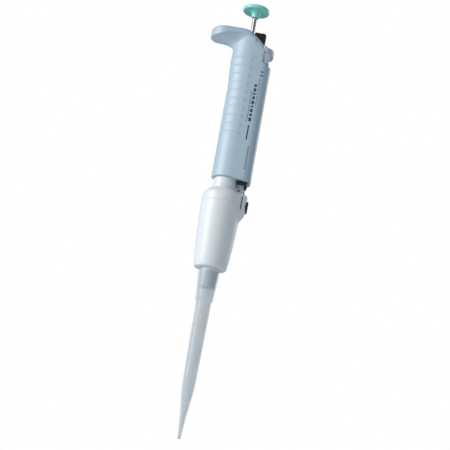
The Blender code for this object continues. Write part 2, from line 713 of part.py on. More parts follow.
def build_frame():
    """The frame: plates joined by two rails, with a seat for the ejector spring."""
    rail_outer = RAIL_INNER + RAIL_THICKNESS
    frame_top = WHEELS_TOP + PLATE_THICKNESS
    nut_plate_low = NUT_BOTTOM - GAP - PLATE_THICKNESS
    gear_plate_low = GEAR_BOTTOM - GAP - PLATE_THICKNESS
    frame = rod("mechanism_frame", FRAME_RADIUS, FRAME_BOTTOM, FRAME_BOTTOM + PLATE_THICKNESS, GREY, 32)
    rail_left, rail_right = 0.001, 0.007
    for side in (-1, 1):
        near, far = sorted((side * RAIL_INNER, side * rail_outer))
        rail = box("rail_%d" % side, (rail_left, near, FRAME_BOTTOM), (rail_right, far, frame_top))
        join(frame, rail)
    levels = (FRAME_BOTTOM, nut_plate_low, gear_plate_low, frame_top - PLATE_THICKNESS)
    for i, low in enumerate(levels):
        high = low + PLATE_THICKNESS
        reach = RAIL_INNER + RAIL_THICKNESS / 2
        bar = box("bar_%d" % i, (rail_left, -reach, low), (rail_right, reach, high))
        if i:
            join(frame, rod("disc_%d" % i, FRAME_RADIUS, low, high, None, 32))
        join(frame, bar)
    pinion_x, pinion_y = pinion_place()
    for i, low in enumerate(levels[2:]):
        arm_low = (0.005, pinion_y - 0.0016, low)
        arm_high = (AXLE_PLACE + 0.003, 0.004, low + PLATE_THICKNESS)
        join(frame, box("counter_arm_%d" % i, arm_low, arm_high))
    rod_x, rod_y = EJECTOR_ROD_PLACE
    seat_high = (rod_x + 0.0021, rod_y + 0.0023, nut_plate_low + PLATE_THICKNESS)
    join(frame, box("spring_seat", (rail_left, rod_y - 0.003, nut_plate_low), seat_high))
    passing = (PISTON_ROD_RADIUS, SCREW_RADIUS, SCREW_RADIUS, SCREW_SLEEVE_RADIUS)
    for i, (low, radius) in enumerate(zip(levels, passing)):
        high = low + PLATE_THICKNESS + GAP
        cut(frame, rod("plate_hole_%d" % i, radius + LOOSE, low - GAP, high, None, 28))
    for i, low in enumerate(levels[2:]):
        high = low + PLATE_THICKNESS + GAP
        axle = (AXLE_PLACE, 0)
        cut(frame, rod("axle_hole_%d" % i, SPINDLE_RADIUS + GAP, low - GAP, high, None, 16, axle))
        place = (pinion_x, pinion_y)
        radius = PINION_SPINDLE_RADIUS + GAP
        cut(frame, rod("pinion_hole_%d" % i, radius, low - GAP, high, None, 12, place))
    seat_top = nut_plate_low + PLATE_THICKNESS
    low, high = nut_plate_low - GAP, seat_top + GAP
    cut(frame, rod("rod_hole", EJECTOR_ROD_RADIUS + GAP, low, high, None, 16, EJECTOR_ROD_PLACE))
    return seat_top


# Grip housing, cover and window


def grip_section(left, proud, inset, height, right):
    """The grip's section: half an ellipse on the left, flat sides, and a flat right end."""
    start = GRIP_FLAT_START
    reach = left + start - inset
    depth = GRIP_HALF_DEPTH - inset
    points = [(right, depth), (start + 0.0003, depth)]
    steps = 18
    for i in range(steps + 1):
        angle = math.pi / 2 + math.pi * i / steps
        fade = proud * min(1.0, 4 * abs(math.cos(angle)))
        points.append((start + (reach + fade) * math.cos(angle), (depth + fade) * math.sin(angle)))
    points += [(start + 0.0003, -depth), (right, -depth)]
    return [(x, y, height) for x, y in points]


def grip_left(height):
    """How far the grip reaches to the left at a height: it swells below the hook."""
    share = (height - GRIP_BOTTOM) / GRIP_HEIGHT
    if share < 0.6:
        return GRIP_LEFT
    return GRIP_LEFT + GRIP_NECK_SWELL * math.sin(min(1.0, (share - 0.6) / 0.2) * math.pi / 2)


def dome_line(drop):
    """The line of the top from the hook's end to the right, lowered by a drop."""
    top = GRIP_TOP - drop
    fall_start = -0.004
    fall_end = GRIP_RIGHT + 0.003
    points = []
    steps = 8
    for i in range(steps + 1):
        x = fall_start + (fall_end - fall_start) * i / steps
        share = (x - fall_start) / (CORNER_LEFT - fall_start)
        points.append((x, top - DOME_FALL * share**1.7))
    return points


def dome_height(x):
    """The height of the top over a place on the plunger's right."""
    share = max(0.0, (x + 0.004) / (CORNER_LEFT + 0.004))
    return GRIP_TOP - DOME_FALL * share**1.7


def build_housing():
    """The grip shell: a ribbed loft, the finger hook, the dome and the openings."""
    right = GRIP_RIGHT
    levels = [(GRIP_BOTTOM, 0.0)]
    for i in range(RIB_COUNT):
        middle = GRIP_BOTTOM + RIB_FIRST + i * RIB_PITCH
        levels.append((middle - RIB_HALF_HEIGHT, 0.0))
        levels.append((middle - RIB_HALF_HEIGHT / 2, RIB_PROUD))
        levels.append((middle + RIB_HALF_HEIGHT / 2, RIB_PROUD))
        levels.append((middle + RIB_HALF_HEIGHT, 0.0))
    levels.append((GRIP_TOP + 0.001, 0.0))
    sections = [grip_section(grip_left(z), proud, 0.0, z, right) for z, proud in levels]
    housing = loft("grip_housing", sections, SHELL_BLUE)

    hook_top = GRIP_TOP + 0.001
    hook_low = GRIP_TOP - HOOK_THICKNESS - HOOK_LIP
    end = HOOK_REACH
    radius = HOOK_HALF_WIDTH
    middle = radius - end
    plan = [(0.0, radius)] + arc((middle, 0), radius, 90, 270, 20) + [(0.0, -radius)]
    hook = plan_prism("hook_block", [plan], hook_low, hook_top)
    under_left, under_right = -end + 0.0035, -GRIP_LEFT - GRIP_NECK_SWELL - 0.0005
    land = GRIP_TOP - HOOK_THICKNESS
    under = [
        (under_left - 0.001, hook_low - 0.001),
        (under_right, hook_low - 0.001),
        (under_right, land - 0.0012),
        (under_right - 0.0012, land),
        (under_left + 0.001, land),
        (under_left, land - 0.001),
    ]
    cut(hook, side_prism("hook_underside", under, 0.03))
    join(housing, hook)

    line = dome_line(0.0)
    above = [(-end - 0.002, GRIP_TOP - 0.0035), (-end + 0.003, GRIP_TOP - 0.0006), (-0.022, GRIP_TOP)]
    above += line + [(line[-1][0], GRIP_TOP + 0.01), (-end - 0.002, GRIP_TOP + 0.01)]
    cut(housing, side_prism("dome_over", above, 0.03))

    corner = [
        (CORNER_LEFT, GRIP_TOP - CORNER_HIGH),
        (right + 0.001, GRIP_TOP - CORNER_LOW - 0.001 * CORNER_SLOPE),
        (right + 0.001, GRIP_TOP + 0.01),
        (CORNER_LEFT, GRIP_TOP + 0.01),
    ]
    cut(housing, side_prism("ejector_corner", corner, 0.03))

    inner = loft(
        "cavity",
        [grip_section(GRIP_LEFT, 0.0, GRIP_WALL, z, right + 0.002) for z in (FLOOR_TOP, GRIP_TOP + 0.002)],
    )
    roof = dome_line(DOME_WALL)
    over = [(-0.03, GRIP_TOP - DOME_WALL)] + roof
    over += [(roof[-1][0], GRIP_TOP + 0.02), (-0.03, GRIP_TOP + 0.02)]
    cut(inner, side_prism("cavity_over", over, 0.03))
    cut(housing, inner)

    neck_hole = SPIGOT_RADIUS + GAP
    cut(housing, rod("neck_opening", neck_hole, GRIP_BOTTOM - 0.001, FLOOR_TOP + 0.001, None, 36))
    block_low, block_high = guide_block_plan()
    opening_low = (block_low[0] - GAP, block_low[1] - GAP, GRIP_BOTTOM - 0.001)
    opening_high = (right + 0.003, block_high[1] + GAP, FLOOR_TOP + 0.001)
    cut(housing, box("block_opening", opening_low, opening_high))

    bush_hole = BUSH_RADIUS + GAP
    cut(housing, rod("bush_opening", bush_hole, GRIP_TOP - 0.012, GRIP_TOP + 0.002, None, 28))
    for i, share in enumerate((0.0, 0.5, 1.0)):
        turn = share * LEVER_SWING
        path = lever_outline(0.0005, True)
        cut(housing, side_prism("lever_path_%d" % i, path, LEVER_HALF_WIDTH + 0.0005, None, turn))
    for i in range(5):
        turn = i / 4 * LEVER_SWING
        left, far = stem_span()
        path = [(left - GAP, GRIP_TOP - 0.012), (far + GAP, GRIP_TOP - 0.012)]
        path += [(far + GAP, GRIP_TOP + 0.002), (left - GAP, GRIP_TOP + 0.002)]
        cut(housing, side_prism("stem_path_%d" % i, path, STEM_HALF_WIDTH + 0.0004, None, turn))
    return housing


def stem_span():
    """The lock lever's stem, as its nearest and farthest reach from the rod."""
    return (BUSH_RADIUS + 3 * GAP, LOCK_RING_RADIUS)


def lever_outline(drop, open_top):
    """The lock lever's side outline. Its lower edge follows the dome, lowered by a drop."""
    lift = 0.0004 - drop
    near = ROD_RADIUS + GAP
    far = LEVER_LENGTH
    if open_top:
        near, far = near - 0.0012, far + 0.001
    low_end = dome_height(far * 0.72) + lift
    points = [(near, dome_height(near) + lift), (far * 0.36, dome_height(far * 0.36) + lift)]
    points += [(far * 0.72, low_end), (far * 0.95, low_end - 0.0004), (far, low_end + 0.0006)]
    if open_top:
        return points + [(far, GRIP_TOP + 0.004), (near, GRIP_TOP + 0.004)]
    top = GRIP_TOP + LEVER_HEIGHT
    points += [(far, top - 0.0022), (far - 0.0012, top - 0.0008)]
    return points + [(near + 0.001, top - 0.0002), (near, top - 0.0008)]


def build_lock():
    """The lock lever with its stem and ring, and the rod's bush."""
    bush_top = dome_height(BUSH_RADIUS) - 0.0002
    bush_low = GRIP_TOP - 0.0125
    ring("rod_bush", ROD_RADIUS + GAP, BUSH_RADIUS, bush_low, bush_top, BLACK, 28)
    lever = side_prism("lock_lever", lever_outline(0.0, False), LEVER_HALF_WIDTH, BLACK)
    left, far = stem_span()
    ring_top = dome_height(far) - DOME_WALL - 0.0016
    stem_low, stem_high = ring_top - 0.001, GRIP_TOP - 0.0005
    stem = [(left, stem_low), (far, stem_low), (far, stem_high), (left, stem_high)]
    join(lever, side_prism("lever_stem", stem, STEM_HALF_WIDTH))
    join(lever, ring("lever_ring", BUSH_RADIUS + GAP, far, ring_top - 0.002, ring_top, None, 28))
    pivot("lock_axis", (0, 0, GRIP_TOP), lever)


def build_cover():
    """The cover over the counter, with its window."""
    high = GRIP_TOP - COVER_TOP_DROP
    left = GRIP_RIGHT + GAP
    right = left + COVER_THICKNESS
    corner = COVER_THICKNESS * 0.95
    depth = GRIP_HALF_DEPTH
    outline = [(left, depth), (left, -depth)]
    outline += arc((right - corner, -depth + corner), corner, -90, 0, 5)
    outline += arc((right - corner, depth - corner), corner, 0, 90, 5)
    cover = plan_prism("front_cover", [outline], GRIP_BOTTOM, high, SHELL_BLUE)
    rib_out = depth - GRIP_WALL - GAP
    for side in (-1, 1):
        near, far = sorted((side * (rib_out - 0.0008), side * rib_out))
        rib_low = (left - 0.0012, near, FLOOR_TOP + 0.01)
        rib_high = (left + 0.0005, far, WHEELS_TOP - LOOSE)
        join(cover, box("cover_rib_%d" % side, rib_low, rib_high))
    block_low, block_high = guide_block_plan()
    notch_low = (left - 0.001, block_low[1] - GAP, GRIP_BOTTOM - 0.001)
    notch_high = (block_high[0] + GAP, block_high[1] + GAP, FLOOR_TOP)
    cut(cover, box("cover_notch", notch_low, notch_high))
    middle = WHEELS_BOTTOM + 1.5 * WHEEL_STEP
    half = WINDOW_HEIGHT / 2
    opening = (left - 0.001, -WINDOW_HALF_WIDTH, middle - half)
    opening_high = (right + 0.001, WINDOW_HALF_WIDTH, middle + half)
    cut(cover, box("window_opening", opening, opening_high))
    pane_low = (right - 0.0002 - PANE_THICKNESS, GAP - WINDOW_HALF_WIDTH, middle - half + GAP)
    pane_high = (right - 0.0002, WINDOW_HALF_WIDTH - GAP, middle + half - GAP)
    box("display_window", pane_low, pane_high, PANE)


# Ejector


def guide_block_plan():
    """The guide block's plan corners."""
    return (COLLAR_RADIUS + 0.0006, -0.0062), (GRIP_RIGHT - 0.0003, 0.0062)


def build_guide_block():
    """The block that guides the link through the housing's floor. It is open towards the collar."""
    (left, near), (right, far) = guide_block_plan()
    low, high = GRIP_BOTTOM - 0.003, SPIGOT_TOP
    block = box("ejector_guide_block", (left, near, low), (right, far, high), BLACK)
    cut(block, rod("nut_room", COLLAR_NUT_RADIUS + GAP, FLOOR_TOP, high + 0.001, None, 36))
    slot_right = LINK_RIGHT + GAP + RACK_THICKNESS + GAP
    slot = LINK_HALF_WIDTH + GAP
    cut(block, box("link_slot", (left - 0.001, -slot, low - 0.001), (slot_right, slot, high + 0.001)))
    return block


def build_ejector(seat_top):
    """The ejector button, its rod, clip and spring, and the link with its rack."""
    left, right = CORNER_LEFT + GAP, GRIP_RIGHT - GAP
    half = GRIP_HALF_DEPTH - GRIP_WALL - 0.0004
    top = GRIP_TOP - DOME_FALL + 0.0012
    low_left, low_right = top - 0.0062, top - 0.0085
    lip = COVER_THICKNESS + 0.0013
    outline = [(left, low_left), (right, low_right), (right + 0.0005, low_right - 0.0018)]
    outline += [(right + lip - 0.0008, low_right - 0.0018), (right + lip, low_right - 0.0008)]
    outline += arc((right + lip - 0.0028, top - 0.0046), 0.0028, 0, 80, 4)
    outline += [(left + 0.0006, top), (left, top - 0.0006)]
    button = side_prism("ejector_button", outline, GRIP_HALF_DEPTH - 0.0006, SHELL_BLUE)
    stem = box("ejector_stem", (left, -half, STEM_BOTTOM), (right, half, low_right + 0.002))
    join(button, stem)
    wall = 0.0012
    hollow_low = (left + wall, -half + wall, STEM_BOTTOM - 0.001)
    hollow_high = (right - wall, half - wall, low_right + 0.0005)
    cut(button, box("stem_hollow", hollow_low, hollow_high))

    rod_x, rod_y = EJECTOR_ROD_PLACE
    foot_low = SPIGOT_TOP + EJECT_TRAVEL + LOOSE
    foot_high = foot_low + LINK_FOOT
    at = (rod_x, rod_y, 0)
    low, high = foot_high + GAP, low_right + 0.0005 - GAP
    ejector_rod = rod("ejector_rod", EJECTOR_ROD_RADIUS, low, high, STEEL, 16, at)
    clip_low = seat_top + EJECTOR_SPRING_LENGTH + 2 * GAP
    clip_high = clip_low + CLIP_THICKNESS
    around = EJECTOR_ROD_RADIUS + GAP
    clip = ring("ejector_clip", around, CLIP_RADIUS, clip_low, clip_high, STEEL, 20, at)
    low, high = seat_top + GAP, clip_low - GAP
    spring = coil("ejector_spring", 0.0022, 0.00035, low, high, 5, SPRING_STEEL, EJECTOR_ROD_PLACE)

    foot_corner = (rod_x + 0.0018, rod_y + 0.0018, foot_high)
    foot = box("ejector_link", (LINK_LEFT, -LINK_HALF_WIDTH, foot_low), foot_corner, GREY)
    bar_low = HEAD_TOP + ADJUST_TRAVEL + GAP
    bar_corner = (LINK_RIGHT, LINK_HALF_WIDTH, foot_high - 0.0005)
    join(foot, box("link_bar", (LINK_LEFT, -LINK_HALF_WIDTH, bar_low), bar_corner))
    tongue_left = CYLINDER_RADIUS + 0.001
    tongue_low = (tongue_left, -LINK_HALF_WIDTH + 0.0005, tongue_bottom())
    tongue_high = (LINK_RIGHT, LINK_HALF_WIDTH - 0.0005, bar_low + 0.001)
    join(foot, box("link_tongue", tongue_low, tongue_high))
    rack_low = (LINK_RIGHT + GAP, -0.0025, tongue_bottom() + 0.001)
    rack_high = (LINK_RIGHT + GAP + RACK_THICKNESS, 0.0025, foot_low - 0.001)
    rack = box("link_rack", rack_low, rack_high, BLACK)
    pivot("ejector_slide", (left, 0, top), button, ejector_rod, clip, foot, rack)
    pivot("ejector_spring_seat", (rod_x, rod_y, seat_top), spring)


def tongue_bottom():
    """The lowest point of the link, inside the sleeve head's channel."""
    return SLEEVE_SEAM + 0.002


def sleeve_profile():
    """The sleeve's outer points from the seam down, without its head."""
    length = SLEEVE_LENGTH
    return [
        (SLEEVE_TOP_RADIUS, SLEEVE_SEAM - GAP),
        (SLEEVE_TOP_RADIUS, SLEEVE_SEAM - 0.12 * length),
        (SLEEVE_MIDDLE_RADIUS, SLEEVE_BOTTOM + 0.64 * length),
        ((SLEEVE_MIDDLE_RADIUS + SLEEVE_BOTTOM_RADIUS) / 2 + 0.0002, SLEEVE_BOTTOM + 0.24 * length),
        (SLEEVE_BOTTOM_RADIUS + 0.0004, SLEEVE_BOTTOM + 0.05 * length),
    ]


def build_sleeve():
    """The ejector sleeve, its head with the bump, and the adjusting dial."""
    outer = sleeve_profile()
    hole = TIP_RIM_RADIUS - TIP_WALL - GAP + SLEEVE_HOLE_CLEARANCE
    floor_top = SLEEVE_BOTTOM + SLEEVE_FLOOR
    bottom = [
        (SLEEVE_BOTTOM_RADIUS, SLEEVE_BOTTOM + 0.0008),
        (SLEEVE_BOTTOM_RADIUS - 0.0008, SLEEVE_BOTTOM),
        (hole, SLEEVE_BOTTOM),
        (hole, floor_top),
    ]
    inner = [(radius - SLEEVE_WALL, height) for radius, height in outer]
    inner[-1] = (SLEEVE_BOTTOM_RADIUS - SLEEVE_WALL, floor_top)
    sleeve = lathe("ejector_sleeve", outer + bottom + inner[::-1], WHITE, 36)

    hole_radius = COLLAR_RADIUS + LOOSE
    wall = SLEEVE_WALL
    shoulder_in = HEAD_SHOULDER_RADIUS - wall
    head_profile = [
        (hole_radius + 0.0004, HEAD_TOP),
        (HEAD_SHOULDER_RADIUS, HEAD_SHOULDER),
        (SLEEVE_TOP_RADIUS, SLEEVE_SEAM + 0.004),
        (SLEEVE_TOP_RADIUS, SLEEVE_SEAM),
        (shoulder_in, SLEEVE_SEAM),
        (shoulder_in, HEAD_SHOULDER - wall),
        (hole_radius, HEAD_TOP - wall),
        (hole_radius, HEAD_TOP),
    ]
    head = lathe("sleeve_head", head_profile, WHITE, 36)
    boss_low, boss_high = SLEEVE_SEAM - BOSS_DROP, SLEEVE_SEAM + BOSS_RISE
    start = CYLINDER_RADIUS + 0.0008
    side = [
        (start, boss_low),
        (SLEEVE_TOP_RADIUS, boss_low),
        (BOSS_REACH - 0.0012, boss_low + 0.0045),
        (BOSS_REACH, boss_low + 0.0075),
        (BOSS_REACH, boss_high - 0.003),
        (BOSS_REACH - 0.0025, boss_high),
        (start, boss_high),
    ]
    boss = side_prism("boss", side, BOSS_HALF_WIDTH)
    around = rod("sleeve_room", SLEEVE_TOP_RADIUS + GAP, boss_low - 0.001, SLEEVE_SEAM, None, 36)
    cut(boss, around)
    join(head, boss)
    channel_low = (tongue_left_edge(), -LINK_HALF_WIDTH - GAP, SLEEVE_SEAM - GAP)
    channel_high = (LINK_RIGHT + GAP + RACK_THICKNESS + GAP, LINK_HALF_WIDTH + GAP, boss_high + 0.001)
    cut(head, box("link_channel", channel_low, channel_high))
    for sign in (-1, 1):
        near, far = sorted((sign * (LINK_HALF_WIDTH - 0.0005), sign * (BOSS_HALF_WIDTH + 0.001)))
        slit_low = (SLIT_PLACE - SLIT_WIDTH / 2, near, SLEEVE_SEAM + 0.001)
        slit_high = (SLIT_PLACE + SLIT_WIDTH / 2, far, boss_high + 0.001)
        cut(head, box("slit_%d" % sign, slit_low, slit_high))
    recess_left = BOSS_REACH - DIAL_SUNK
    turned = Matrix.Rotation(math.pi / 2, 4, "Y")
    recess = rod("dial_recess", DIAL_RADIUS + GAP, -GAP, 0.01, None, 28)
    recess.matrix_world = Matrix.Translation((recess_left, 0, SLEEVE_SEAM + 0.0005)) @ turned
    cut(head, recess)
    dial_profile = [
        (0, DIAL_THICKNESS),
        (DIAL_RADIUS - 0.0005, DIAL_THICKNESS),
        (DIAL_RADIUS, DIAL_THICKNESS - 0.0005),
        (DIAL_RADIUS, 0),
        (0, 0),
    ]
    dial = lathe("adjusting_dial", dial_profile, BLACK, 28, closed=False)
    dial.location = (recess_left + GAP, 0, SLEEVE_SEAM + 0.0005)
    dial.rotation_euler = (0, math.pi / 2, 0)
    slot_half = 0.0005
    slot_low = (BOSS_REACH + 0.0006, -slot_half, SLEEVE_SEAM - DIAL_RADIUS * 0.6)
    slot_high = (BOSS_REACH + 0.005, slot_half, SLEEVE_SEAM + DIAL_RADIUS * 0.8)
    cut(dial, box("dial_slot", slot_low, slot_high))
    pivot("sleeve_slide", (0, 0, SLEEVE_SEAM), sleeve, head)
    pivot("dial_axis", (recess_left, 0, SLEEVE_SEAM + 0.0005), dial)


def tongue_left_edge():
    """The channel's side towards the cylinder."""
    return CYLINDER_RADIUS + 0.0004


# Push button


def build_button():
    """The button with its grooved underside, its cap, and the rod."""
    hub_low = GRIP_TOP + BUTTON_LIFT
    disc_low = hub_low + BUTTON_HUB_LENGTH
    top = disc_low + BUTTON_DISC
    socket = ROD_RADIUS + GAP
    socket_top = disc_low + 0.001
    groove = 0.0008
    land_outer, land_inner = BUTTON_RADIUS - 0.0018, BUTTON_HUB_RADIUS + 0.0022
    step = (land_outer - land_inner) / 4
    profile = [
        (0, top - CAP_DEPTH),
        (CAP_RADIUS + GAP, top - CAP_DEPTH),
        (CAP_RADIUS + GAP, top),
        (BUTTON_RADIUS - 0.0012, top),
        (BUTTON_RADIUS, top - 0.001),
        (BUTTON_RADIUS, disc_low + 0.0006),
        (BUTTON_RADIUS - 0.0006, disc_low),
        (land_outer, disc_low),
        (land_outer, disc_low + groove),
        (land_outer - step, disc_low + groove),
        (land_outer - step, disc_low),
        (land_outer - 3 * step, disc_low),
        (land_outer - 3 * step, disc_low + groove),
        (land_inner, disc_low + groove),
        (BUTTON_HUB_RADIUS + 0.0006, disc_low - 0.0004),
        (BUTTON_HUB_RADIUS - 0.0006, hub_low),
        (socket, hub_low),
        (socket, socket_top),
        (0, socket_top),
    ]
    button = lathe("push_button", profile, MINT, 32, closed=False)
    cap_low = top - CAP_DEPTH + GAP
    cap_profile = [(0, top), (CAP_RADIUS - 0.0004, top), (CAP_RADIUS, top - 0.0003)]
    cap_profile += [(CAP_RADIUS, cap_low), (0, cap_low)]
    cap = lathe("button_cap", cap_profile, MINT, 32, closed=False)
    plunger_rod = rod("plunger_rod", ROD_RADIUS, STOP_BOTTOM, socket_top - GAP, STEEL, 24)
    pivot("volume_axis", (0, 0, hub_low), button, cap, plunger_rod)


def build():
    """Builds every sub-part."""
    tip = build_tip()
    pivot("tip_slide", (0, 0, TIP_TOP), tip)
    build_cylinder()
    spring_floor = build_collar()[1]
    build_piston(spring_floor)
    build_blowout()
    build_screw()
    build_counter()
    seat_top = build_frame()
    build_housing()
    build_cover()
    build_lock()
    build_guide_block()
    build_ejector(seat_top)
    build_sleeve()
    build_button()


build()
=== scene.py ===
"""Looks of the adjustable micropipette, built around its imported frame.

Sizes in the classes are in millimetres and heights run along the plunger axis. The modelling bench
turns them into metres as it places points.
"""

import logging
import math
from dataclasses import dataclass, field
from enum import Enum
from typing import Iterable, Sequence

import bmesh
import bpy
from mathutils import Matrix, Vector

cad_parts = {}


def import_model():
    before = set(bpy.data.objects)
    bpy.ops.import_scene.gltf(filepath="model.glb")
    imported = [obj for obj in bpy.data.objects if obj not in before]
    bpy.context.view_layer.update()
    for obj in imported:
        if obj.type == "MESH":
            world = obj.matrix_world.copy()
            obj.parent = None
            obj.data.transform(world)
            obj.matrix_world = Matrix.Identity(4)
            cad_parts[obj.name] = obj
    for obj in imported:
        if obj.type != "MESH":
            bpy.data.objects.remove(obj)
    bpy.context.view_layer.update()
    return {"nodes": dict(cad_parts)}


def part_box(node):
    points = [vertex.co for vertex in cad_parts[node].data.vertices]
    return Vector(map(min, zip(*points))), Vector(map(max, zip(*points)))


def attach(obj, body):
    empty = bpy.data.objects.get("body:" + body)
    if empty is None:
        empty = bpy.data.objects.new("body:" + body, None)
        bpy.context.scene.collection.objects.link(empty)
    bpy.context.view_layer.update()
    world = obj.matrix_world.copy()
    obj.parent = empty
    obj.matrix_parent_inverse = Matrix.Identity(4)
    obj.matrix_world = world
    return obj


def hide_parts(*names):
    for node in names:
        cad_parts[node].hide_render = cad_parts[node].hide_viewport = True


LOG = logging.getLogger("micropipette")
MM = 0.001

Point2 = tuple[float, float]
Point3 = tuple[float, float, float]


class Slot(Enum):
    """The record's material slots, one given with each new piece."""

    SHELL = "shell_blue"
    MINT = "mint_plastic"
    WHITE = "white_plastic"
    BLACK = "black_plastic"
    GREY = "grey_plastic"
    TIP = "clear_tip"
    ROD = "rod_steel"


class Axis(Enum):
    """The direction that a flat outline is drawn out along."""

    X = 0
    Y = 1
    Z = 2


# Shader wiring


class Wire:
    """An output socket that takes part in arithmetic."""

    def __init__(self, tree: "Wiring", socket: bpy.types.NodeSocket) -> None:
        """Keeps the socket and the tree that new Math nodes go to."""
        self.tree = tree
        self.socket = socket

    def _math(self, operation: str, first: "Wire | float", second: "Wire | float") -> "Wire":
        """One Math node on two values."""
        return self.tree.node("ShaderNodeMath", {"operation": operation}, {0: first, 1: second})

    def __add__(self, other: "Wire | float") -> "Wire":
        """Sum."""
        return self._math("ADD", self, other)

    def __radd__(self, other: float) -> "Wire":
        """Sum with a plain number first."""
        return self._math("ADD", other, self)

    def __sub__(self, other: "Wire | float") -> "Wire":
        """Difference."""
        return self._math("SUBTRACT", self, other)

    def __rsub__(self, other: float) -> "Wire":
        """Difference with a plain number first."""
        return self._math("SUBTRACT", other, self)

    def __mul__(self, other: "Wire | float") -> "Wire":
        """Product."""
        return self._math("MULTIPLY", self, other)

    def __rmul__(self, other: float) -> "Wire":
        """Product with a plain number first."""
        return self._math("MULTIPLY", other, self)


class Wiring:
    """A material's node tree with its Principled shader."""

    MIX_SHARE = 0
    MIX_FIRST = 6
    MIX_SECOND = 7
    MIX_COLOUR_OUT = 2

    def __init__(self, name: str) -> None:
        """Starts a material of that name."""
        self.material = bpy.data.materials.new(name)
        self.material.use_nodes = True
        self.tree = self.material.node_tree
        self.shader = self.tree.nodes["Principled BSDF"]

    def node(self, kind: str, settings: dict, inputs: dict, output: int | str = 0) -> Wire:
        """Adds a node.

        Args:
            kind: the node's type.
            settings: what is set on the node first.
            inputs: values or wires for its sockets.
            output: the socket that is wanted.

        Returns:
            The wanted output.
        """
        made = self.tree.nodes.new(kind)
        for key, value in settings.items():
            setattr(made, key, value)
        for key, value in inputs.items():
            self.put(made.inputs[key], value)
        return Wire(self, made.outputs[output])

    def put(self, socket: bpy.types.NodeSocket, value: "Wire | float | tuple") -> None:
        """Links a wire to a socket, or sets the socket's value."""
        if isinstance(value, Wire):
            self.tree.links.new(value.socket, socket)
        else:
            socket.default_value = value

    def set(self, **sockets: "Wire | float | tuple") -> None:
        """Sets the Principled shader's sockets, with underscores for the blanks in their names."""
        for key, value in sockets.items():
            self.put(self.shader.inputs[key.replace("_", " ")], value)

    def place(self, stretch: Point3 = (1.0, 1.0, 1.0)) -> Wire:
        """The object's own coordinates, stretched."""
        where = self.node("ShaderNodeTexCoord", {}, {}, "Object")
        if stretch == (1.0, 1.0, 1.0):
            return where
        return self.node("ShaderNodeMapping", {}, {"Vector": where, "Scale": stretch})

    def noise(self, where: Wire, scale: float, detail: float = 2.0, rough: float = 0.5) -> Wire:
        """Noise from about 0 to 1, with its scale per metre."""
        values = {"Vector": where, "Scale": scale, "Detail": detail, "Roughness": rough}
        return self.node("ShaderNodeTexNoise", {}, values, "Fac")

    def blend(self, share: Wire | float, first: tuple | Wire, second: tuple | Wire) -> Wire:
        """Mixes two colours."""
        settings = {"data_type": "RGBA"}
        inputs = {self.MIX_SHARE: share, self.MIX_FIRST: first, self.MIX_SECOND: second}
        return self.node("ShaderNodeMix", settings, inputs, self.MIX_COLOUR_OUT)

    def bump(self, height: Wire, depth: float, strength: float = 1.0) -> Wire:
        """A normal from a height, whose full range is a depth in metres."""
        values = {"Strength": strength, "Distance": depth, "Height": height}
        return self.node("ShaderNodeBump", {}, values)


def tone(colour: Point3, share: float) -> tuple:
    """A colour scaled by a share, with alpha."""
    return (*(min(1.0, part * share) for part in colour), 1.0)


@dataclass(frozen=True)
class Plastic:
    """Moulded plastic with a fine eroded grain, faint flow marks and rubbed spots."""

    name: str
    colour: Point3
    roughness: float = 0.42
    grain: float = 2200.0
    grain_depth: float = 0.000012
    shade: float = 0.95
    rub: float = 0.08
    subsurface: float = 0.0
    subsurface_reach: float = 0.0015
    coat: float = 0.0
    coat_roughness: float = 0.4
    flow_scale: float = 38.0
    speckle_scale: float = 900.0
    speckle_share: float = 0.35
    spot_scale: float = 160.0
    swell_scale: float = 240.0
    swell_share: float = 0.6

    def make(self) -> bpy.types.Material:
        """Builds the material."""
        wiring = Wiring(self.name)
        where = wiring.place()
        flow = wiring.noise(where, self.flow_scale, 3.0)
        speckle = wiring.noise(where, self.speckle_scale, 1.0)
        lit, dim = tone(self.colour, 1.0), tone(self.colour, self.shade)
        cloudy = wiring.blend(flow, lit, dim)
        base = wiring.blend(speckle * self.speckle_share, cloudy, dim)
        spots = wiring.noise(where, self.spot_scale, 4.0, 0.62)
        roughness = self.roughness + self.rub * (spots - 0.5) + 0.05 * (speckle - 0.5)
        fine = wiring.noise(where, self.grain, 2.0, 0.6)
        swell = wiring.noise(where, self.swell_scale, 1.0)
        normal = wiring.bump(fine + self.swell_share * swell, self.grain_depth)
        wiring.set(Base_Color=base, Roughness=roughness, Normal=normal)
        wiring.set(Subsurface_Weight=self.subsurface, Subsurface_Scale=self.subsurface_reach)
        wiring.set(Coat_Weight=self.coat, Coat_Roughness=self.coat_roughness)
        return wiring.material


@dataclass(frozen=True)
class Metal:
    """Turned or ground metal with fine lines around it and a slight tarnish."""

    name: str
    colour: Point3
    roughness: float = 0.24
    line_stretch: Point3 = (60.0, 60.0, 9000.0)
    line_depth: float = 0.000004
    tarnish: float = 0.85
    cloud_scale: float = 120.0
    line_share: float = 0.12
    cloud_share: float = 0.06

    def make(self) -> bpy.types.Material:
        """Builds the material."""
        wiring = Wiring(self.name)
        where = wiring.place()
        lines = wiring.noise(wiring.place(self.line_stretch), 1.0, 3.0, 0.7)
        cloud = wiring.noise(where, self.cloud_scale, 3.0)
        base = wiring.blend(cloud, tone(self.colour, 1.0), tone(self.colour, self.tarnish))
        roughness = self.roughness + self.line_share * (lines - 0.5) + self.cloud_share * (cloud - 0.5)
        normal = wiring.bump(lines, self.line_depth)
        wiring.set(Base_Color=base, Roughness=roughness, Normal=normal, Metallic=1.0)
        return wiring.material


